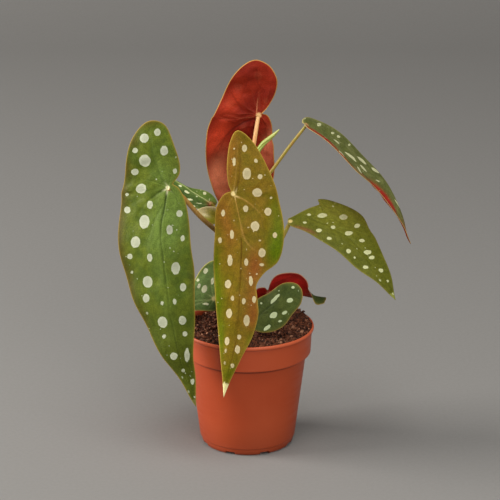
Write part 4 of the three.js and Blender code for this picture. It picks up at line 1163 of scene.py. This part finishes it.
PROFILE = [
    (20, 0), (NOTCH_INNER - 0.1, 0), (NOTCH_INNER + 0.1, 0), (BASE - 2.4, 0), (BASE - 0.7, 0.7), (BASE, 2.4),
    (BASE + 0.6, FOOT), (BODY_FOOT, FOOT + 0.7), (BODY_TOP, STEP - 0.6), (COLLAR_FOOT - 0.8, STEP),
    (COLLAR_FOOT, STEP + 0.8), (RIM - 1.9, HEIGHT - 5), (RIM - 2.1, HEIGHT - 3.9), (RIM - 0.3, HEIGHT - 3.3),
    (RIM, HEIGHT - 1.5), (RIM - 0.4, HEIGHT - 0.3), (RIM - 1.1, HEIGHT), (RIM - 1.9, HEIGHT - 0.5),
    (COLLAR_FOOT - WALL, STEP + 2), (inside(STEP), STEP - 1), (inside(FOOT), FOOT),
    (BASE - WALL - 0.6, FLOOR + 0.8), (BASE - WALL - 2, FLOOR), (NOTCH_INNER + 0.1, FLOOR),
    (NOTCH_INNER - 0.1, FLOOR), (20, FLOOR)]
print("profile of", len(PROFILE), "corners")


# %% Soft corners
def round_corners(profile, radius):
    """Each corner becomes a small curve: a quadratic bow between points set back from the corner."""
    p = np.asarray(profile, float)
    before, after = p[:-2] - p[1:-1], p[2:] - p[1:-1]
    back = np.minimum(radius, 0.4 * np.linalg.norm(before, axis=1, keepdims=True))
    fore = np.minimum(radius, 0.4 * np.linalg.norm(after, axis=1, keepdims=True))
    start = (p[1:-1] + unit(before) * back)[:, None]
    end = (p[1:-1] + unit(after) * fore)[:, None]
    bows = bow(np.linspace(0, 1, 5)[None, :, None], start, p[1:-1][:, None], end)
    return np.vstack([p[:1], bows.reshape(-1, 2), p[-1:]])


def split_long(profile, most):
    """Splits stretches longer than most mm into equal parts."""
    p = np.asarray(profile, float)
    counts = np.maximum(1, np.ceil(np.linalg.norm(np.diff(p, axis=0), axis=1) / most)).astype(int)
    at = np.concatenate([i + np.arange(n) / n for i, n in enumerate(counts)] + [[len(p) - 1]])
    return np.stack([np.interp(at, np.arange(len(p)), p[:, c]) for c in (0, 1)], 1)


rows = split_long(round_corners(PROFILE, radius=0.5), most=4)
print("rounded to", len(rows), "points")

# %% Pot mesh
# Two turning angles stand close together at each side of a notch, so its edges come out crisp. In a
# notch, each point that lies lower than its roof is lifted to it, and 0.02 of the point's own height
# keeps the lifted points apart. Inside the wall, the roof lies higher by ROOF.
TURNS = 240  # even steps round the pot
CRISP = 0.003  # half the angle, in radians, between those two
ROOF = 1.0  # thickness of a notch's roof
half = np.arcsin(NOTCH_WIDTH / 2 / BASE)
centres = (np.arange(NOTCHES) + 0.5) / NOTCHES * 2 * np.pi
sides = np.array([-half - CRISP, -half + CRISP, half - CRISP, half + CRISP])
sides = (centres[:, None] + sides).ravel()
turn = np.sort(np.concatenate([np.arange(TURNS) / TURNS * 2 * np.pi, sides]))
radius, height = np.repeat(rows[:, :1], len(turn), axis=1), np.repeat(rows[:, 1:], len(turn), axis=1)
off = (turn[None, :] - centres[:, None] + np.pi) % (2 * np.pi) - np.pi
in_notch = (np.abs(off).min(0) < half)[None, :] & (radius > NOTCH_INNER)
outer = np.arange(len(rows))[:, None] < rows[:, 0].argmax()
roof = np.where(outer, NOTCH_HEIGHT + 0.02 * height, NOTCH_HEIGHT + ROOF + 0.02 * height)
height = np.where(in_notch & (height < roof), roof, height)
points = np.stack([radius * np.cos(turn), radius * np.sin(turn), height], -1).reshape(-1, 3)
points = np.vstack([points, [[0, 0, 0], [0, 0, FLOOR]]])
caps = end_caps(len(rows), len(turn))
pot = mesh_piece("pot_skin", points, grid_faces(len(rows), len(turn)), caps)
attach(pot, "root")
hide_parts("pot")

# %% [markdown]
# ## Moulded plastic
#
# The pot's plastic is an even terracotta with a faint bloom. Painted shade darkens it under the lip,
# below the step and towards the foot, and painted light pales the collar and the lip.

# %% Pot material
plastic, given = new_group("moulded plastic", ["Base", "Worn", "Grime", "Lip"])
place = put(plastic, "TexCoord").outputs["Object"]
broad = noise(plastic, place, 14.0, 4.0)
fine = noise(plastic, place, 900.0, 2.0)
scuff_map = put(plastic, "Mapping", {"Vector": place, "Scale": (30.0, 30.0, 220.0)}).outputs[0]
scuffs = noise(plastic, scuff_map, 1.0, 6.0)
color = blend(plastic, rise(plastic, broad, 0.35, 0.7, 0.0, 0.5), given["Base"], given["Worn"])
color = blend(plastic, rise(plastic, scuffs, 0.62, 0.8, 0.0, 0.35), color, given["Worn"])
up = put(plastic, "SeparateXYZ", {0: place}).outputs[2]
# Painted shade under the lip, below the step and towards the foot: the height it is darkest at, how far it
# reaches, and its strength.
for level, reach, strength in ((HEIGHT - 4.2, 0.9, 0.3), (STEP - 1.2, 2.2, 0.7), (FOOT - 4, 3.0, 0.25),
                               (FOOT - 2, 30.0, 0.22)):
    away = maths(plastic, "ABSOLUTE", maths(plastic, "SUBTRACT", up, level / 1000))
    color = blend(plastic, rise(plastic, away, reach / 1000, 0.0, 0.0, strength), color, given["Grime"])
# Painted light on the collar and the lip: the heights between which it sets in, and its strength.
for start, end, strength in ((STEP, STEP + 2, 0.2), (HEIGHT - 3.3, HEIGHT - 1.8, 0.8)):
    painted_light_mask = rise(plastic, up, start / 1000, end / 1000, 0.0, strength)
    color = blend(plastic, painted_light_mask, color, given["Lip"])
bloom = maths(plastic, "ADD", fine, maths(plastic, "MULTIPLY", scuffs, 0.6))
close_group(plastic, color, rise(plastic, scuffs, 0.3, 0.8, 0.38, 0.55), bloom)
# The darkest of these colours is painted shade, and the palest is painted light on the collar and lip.
terracotta = dict(Base=rgb(168, 66, 30), Worn=rgb(180, 80, 42), Grime=rgb(74, 24, 12), Lip=rgb(206, 98, 60))
pot.data.materials.append(new_material("terracotta plastic", plastic, terracotta, bump=0.08,
                                       distance=0.0004, Specular_IOR_Level=0.3))

# %% [markdown]
# ## Soil
#
# Peat mix is a heap of crumbs. Crumbs alone would take millions of faces to fill the pot, and a smooth
# surface would look like paint. So a fine height field gives the lie of the land, and loose crumbs on
# top break it up, as they do in a real pot.


# %% Lie of the soil
def soil_height(x, y):
    """Height of the soil: 109 mm, heaped at the back right and sunken at the back left by a soft
    hill of 5 mm each, with clumps all over: crossed sine waves of 0.9 mm.
    """
    heap = 5 * np.exp(-((x - 34) ** 2 + (y - 22) ** 2) / 700)
    dip = 5 * np.exp(-((x + 46) ** 2 + (y - 22) ** 2) / 500)
    coarse = np.sin(x * 0.37 - y * 0.52 + 2.1)
    clump = np.sin(x * 0.83 + 1.3) * np.sin(y * 0.71 - 0.4) + 0.6 * coarse
    return 109 + heap - dip + 0.9 * clump


def soil_relief(x, y):
    """The clumps with crumbs of three sizes on them: random hills 5, 1.5 and 0.8 mm wide."""
    crumbs = 1.2 * np.abs(lumps(x, y, 5, 11)) + 0.9 * np.abs(lumps(x, y, 1.5, 12))
    crumbs += 0.5 * lumps(x, y, 0.8, 13)
    return soil_height(x, y) + crumbs - 0.7


print("soil in the middle of the pot stands", round(float(soil_height(0, 0)), 1), "mm up")

# %% Soil mesh
SOIL_EDGE = 57.6  # radius of the surface at the pot's lip
SOIL_RINGS, SOIL_SIDES = 92, 420
CLOSER = 0.8  # power that sets the rings closer together towards the lip
SOIL_WALL = [(57.0, 100), (54.6, 88), (50.6, 80), (42, 8), (30, 5)]  # radius and height down the pot
radii = SOIL_EDGE * (np.arange(1, SOIL_RINGS + 1) / SOIL_RINGS) ** CLOSER
turn = np.arange(SOIL_SIDES) / SOIL_SIDES * 2 * np.pi
x, y = radii[:, None] * np.cos(turn), radii[:, None] * np.sin(turn)
top = np.stack([x, y, soil_relief(x, y)], -1)
wall = np.stack([np.stack([r * np.cos(turn), r * np.sin(turn), 0 * turn + z], -1) for r, z in SOIL_WALL])
points = np.vstack([[[0, 0, soil_relief(0, 0)]], top.reshape(-1, 3), wall.reshape(-1, 3), [[0, 0, 5]]])
soil_rows = SOIL_RINGS + len(SOIL_WALL)
quads = 1 + grid_faces(soil_rows, SOIL_SIDES)[:, ::-1]
k, after = np.arange(SOIL_SIDES), (np.arange(SOIL_SIDES) + 1) % SOIL_SIDES
fan = np.stack([np.zeros(SOIL_SIDES, int), 1 + k, 1 + after], 1)
base = 1 + (soil_rows - 1) * SOIL_SIDES
fan_low = np.stack([np.full(SOIL_SIDES, len(points) - 1), base + after, base + k], 1)
soil = mesh_piece("soil_mix", points, quads, np.vstack([fan, fan_low]))
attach(soil, "root")
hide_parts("soil")

# %% [markdown]
# ## Loose crumbs
#
# Crumbs of bark and peat lie loose on the mix, most of them tiny and a few large. Copies of one crumb
# would look alike. Worked out as whole arrays, each gets its own shape, and all of them are one mesh.

# %% Loose crumbs
# A crumb is a ball of twenty triangles: its corners are pushed in and out at random, then it is
# stretched, and turned by a random quaternion (w, i, j, k) written out as a matrix.
CRUMBS = 4200
SMALLEST, SPREAD = 0.35, 1.7  # size of the smallest crumb, and how much larger the largest is
rng = np.random.default_rng(27)
golden = (1 + 5**0.5) / 2
ball = unit(np.array([(-1, golden, 0), (1, golden, 0), (-1, -golden, 0), (1, -golden, 0), (0, -1, golden),
                      (0, 1, golden), (0, -1, -golden), (0, 1, -golden), (golden, 0, -1), (golden, 0, 1),
                      (-golden, 0, -1), (-golden, 0, 1)], float))
ball_faces = np.array([(0, 11, 5), (0, 5, 1), (0, 1, 7), (0, 7, 10), (0, 10, 11), (1, 5, 9), (5, 11, 4),
                       (11, 10, 2), (10, 7, 6), (7, 1, 8), (3, 9, 4), (3, 4, 2), (3, 2, 6), (3, 6, 8),
                       (3, 8, 9), (4, 9, 5), (2, 4, 11), (6, 2, 10), (8, 6, 7), (9, 8, 1)])
away = (SOIL_EDGE - 1.1) * np.sqrt(rng.random(CRUMBS))
angle = rng.random(CRUMBS) * 2 * np.pi
x, y = away * np.cos(angle), away * np.sin(angle)
size = SMALLEST + SPREAD * rng.random(CRUMBS) ** 3
stretch = size[:, None] * (0.6 + 0.8 * rng.random((CRUMBS, 3)))
w, i, j, k = unit(rng.normal(size=(CRUMBS, 4))).T
turned = np.stack([1 - 2 * (j * j + k * k), 2 * (i * j - k * w), 2 * (i * k + j * w),
                   2 * (i * j + k * w), 1 - 2 * (i * i + k * k), 2 * (j * k - i * w),
                   2 * (i * k - j * w), 2 * (j * k + i * w), 1 - 2 * (i * i + j * j)], 1).reshape(-1, 3, 3)
rough = 1 + 0.28 * rng.normal(size=(CRUMBS, 12, 1))
body = np.einsum("nij,nvj->nvi", turned, ball[None] * rough * stretch[:, None])
lying = np.stack([x, y, soil_relief(x, y) + 0.25 * size], 1)
points = (body + lying[:, None]).reshape(-1, 3)
triangles = (ball_faces[None] + 12 * np.arange(CRUMBS)[:, None, None]).reshape(-1, 3)
tone = np.repeat(rng.random(CRUMBS), 12)
crumbs = mesh_piece("soil_crumbs", points, np.zeros((0, 4), int), triangles, numbers={"tone": tone})
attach(crumbs, "root")

# %% [markdown]
# ## Peat
#
# One material serves the surface and the crumbs. Each crumb keeps one random tone, so a few are pale
# bits of bark or grit among the dark peat.

# %% Soil material
earth, given = new_group("peat", ["Dark", "Light", "Fleck"])
place = put(earth, "TexCoord").outputs["Object"]
grain = noise(earth, place, 420.0, 6.0)
broad = noise(earth, place, 90.0, 3.0)
color = blend(earth, rise(earth, grain, 0.35, 0.7), given["Dark"], given["Light"])
color = blend(earth, rise(earth, broad, 0.6, 0.75, 0.0, 0.5), color, given["Fleck"])
tone = stored(earth, "tone")
color = blend(earth, rise(earth, tone, 0.3, 0.9, 0.0, 0.6), color, given["Light"])
color = blend(earth, rise(earth, tone, 0.86, 1.0, 0.0, 0.8), color, given["Fleck"])
close_group(earth, color, rise(earth, grain, 0.3, 0.7, 0.75, 0.95), grain)
peat_colours = dict(Dark=rgb(34, 16, 10), Light=rgb(112, 64, 40), Fleck=rgb(196, 144, 110))
peat = new_material("peat mix", earth, peat_colours, bump=0.6, distance=0.0008, Specular_IOR_Level=0.25)
soil.data.materials.append(peat)
crumbs.data.materials.append(peat)

# %% [markdown]
# ## Floor
#
# Studio pictures are taken on paper that hangs down behind the object and runs out beneath it. Its
# curve leaves no edge to distract the eye, which a floor and a wall would.

# %% Floor
REACH = 4000  # how far the floor spreads, and how high the backdrop rises
BACK, BEND = 1500, 900  # where the floor starts to curve up, and the radius of that curve
across = np.linspace(-REACH, REACH, 9)
arc = np.linspace(0, np.pi / 2, 13)[1:]
path_y = np.concatenate([np.linspace(-REACH, BACK, 8), BACK + BEND * np.sin(arc), [BACK + BEND]])
path_z = np.concatenate([np.zeros(8), BEND - BEND * np.cos(arc), [REACH]])
gx, gy = np.meshgrid(across, path_y, indexing="ij")
gz = np.broadcast_to(path_z, gx.shape)
quads = grid_faces(len(across), len(path_y), closed=False)
floor = mesh_piece("floor", np.stack([gx, gy, gz], -1).reshape(-1, 3), quads[:, ::-1])
paper, given = new_group("studio paper", ["Base", "Shade"])
fibre = noise(paper, put(paper, "TexCoord").outputs["Object"], 300.0, 3.0)
color = blend(paper, fibre, given["Base"], given["Shade"])
close_group(paper, color, rise(paper, fibre, 0.0, 1.0, 0.8, 0.9), fibre)
greys = dict(Base=rgb(138, 136, 133), Shade=rgb(132, 130, 127))
floor.data.materials.append(new_material("studio paper", paper, greys, bump=0.02))

# %% [markdown]
# ## Lights
#
# One large soft light from the left models the leaves and the pot. A weaker one at the front right
# fills their shadows, and one from above brings out the rim and the tops of the leaves. Small lamps
# would cast hard shadows, so all three are square soft boxes.


# %% Lights
def soft_light(name, place, size, watts, color, aim=(0, 0, 0.2)):
    """A square soft box at place, turned towards aim; places and size are in metres."""
    data = bpy.data.lights.new(name, "AREA")
    data.size, data.energy, data.color = size, watts, color
    light = bpy.data.objects.new(name, data)
    bpy.context.scene.collection.objects.link(light)
    light.location = place
    light.rotation_euler = (Vector(aim) - Vector(place)).to_track_quat("-Z", "Y").to_euler()
    print(name, "light,", watts, "watts")


soft_light("key", (-2.3, 0.0, 0.9), size=1.3, watts=78, color=(1.0, 0.97, 0.93))
soft_light("fill", (0.7, -2.2, 1.0), size=1.4, watts=26, color=(1.0, 0.98, 0.95))
soft_light("top", (0.2, -0.7, 2.3), size=1.2, watts=27, color=(1.0, 0.99, 0.96))
world = bpy.data.worlds.new("studio")
world.use_nodes = True
background = world.node_tree.nodes["Background"].inputs
background["Color"].default_value = (1, 1, 1, 1)
background["Strength"].default_value = 0.22
bpy.context.scene.view_settings.view_transform = "Standard"
bpy.context.scene.world = world
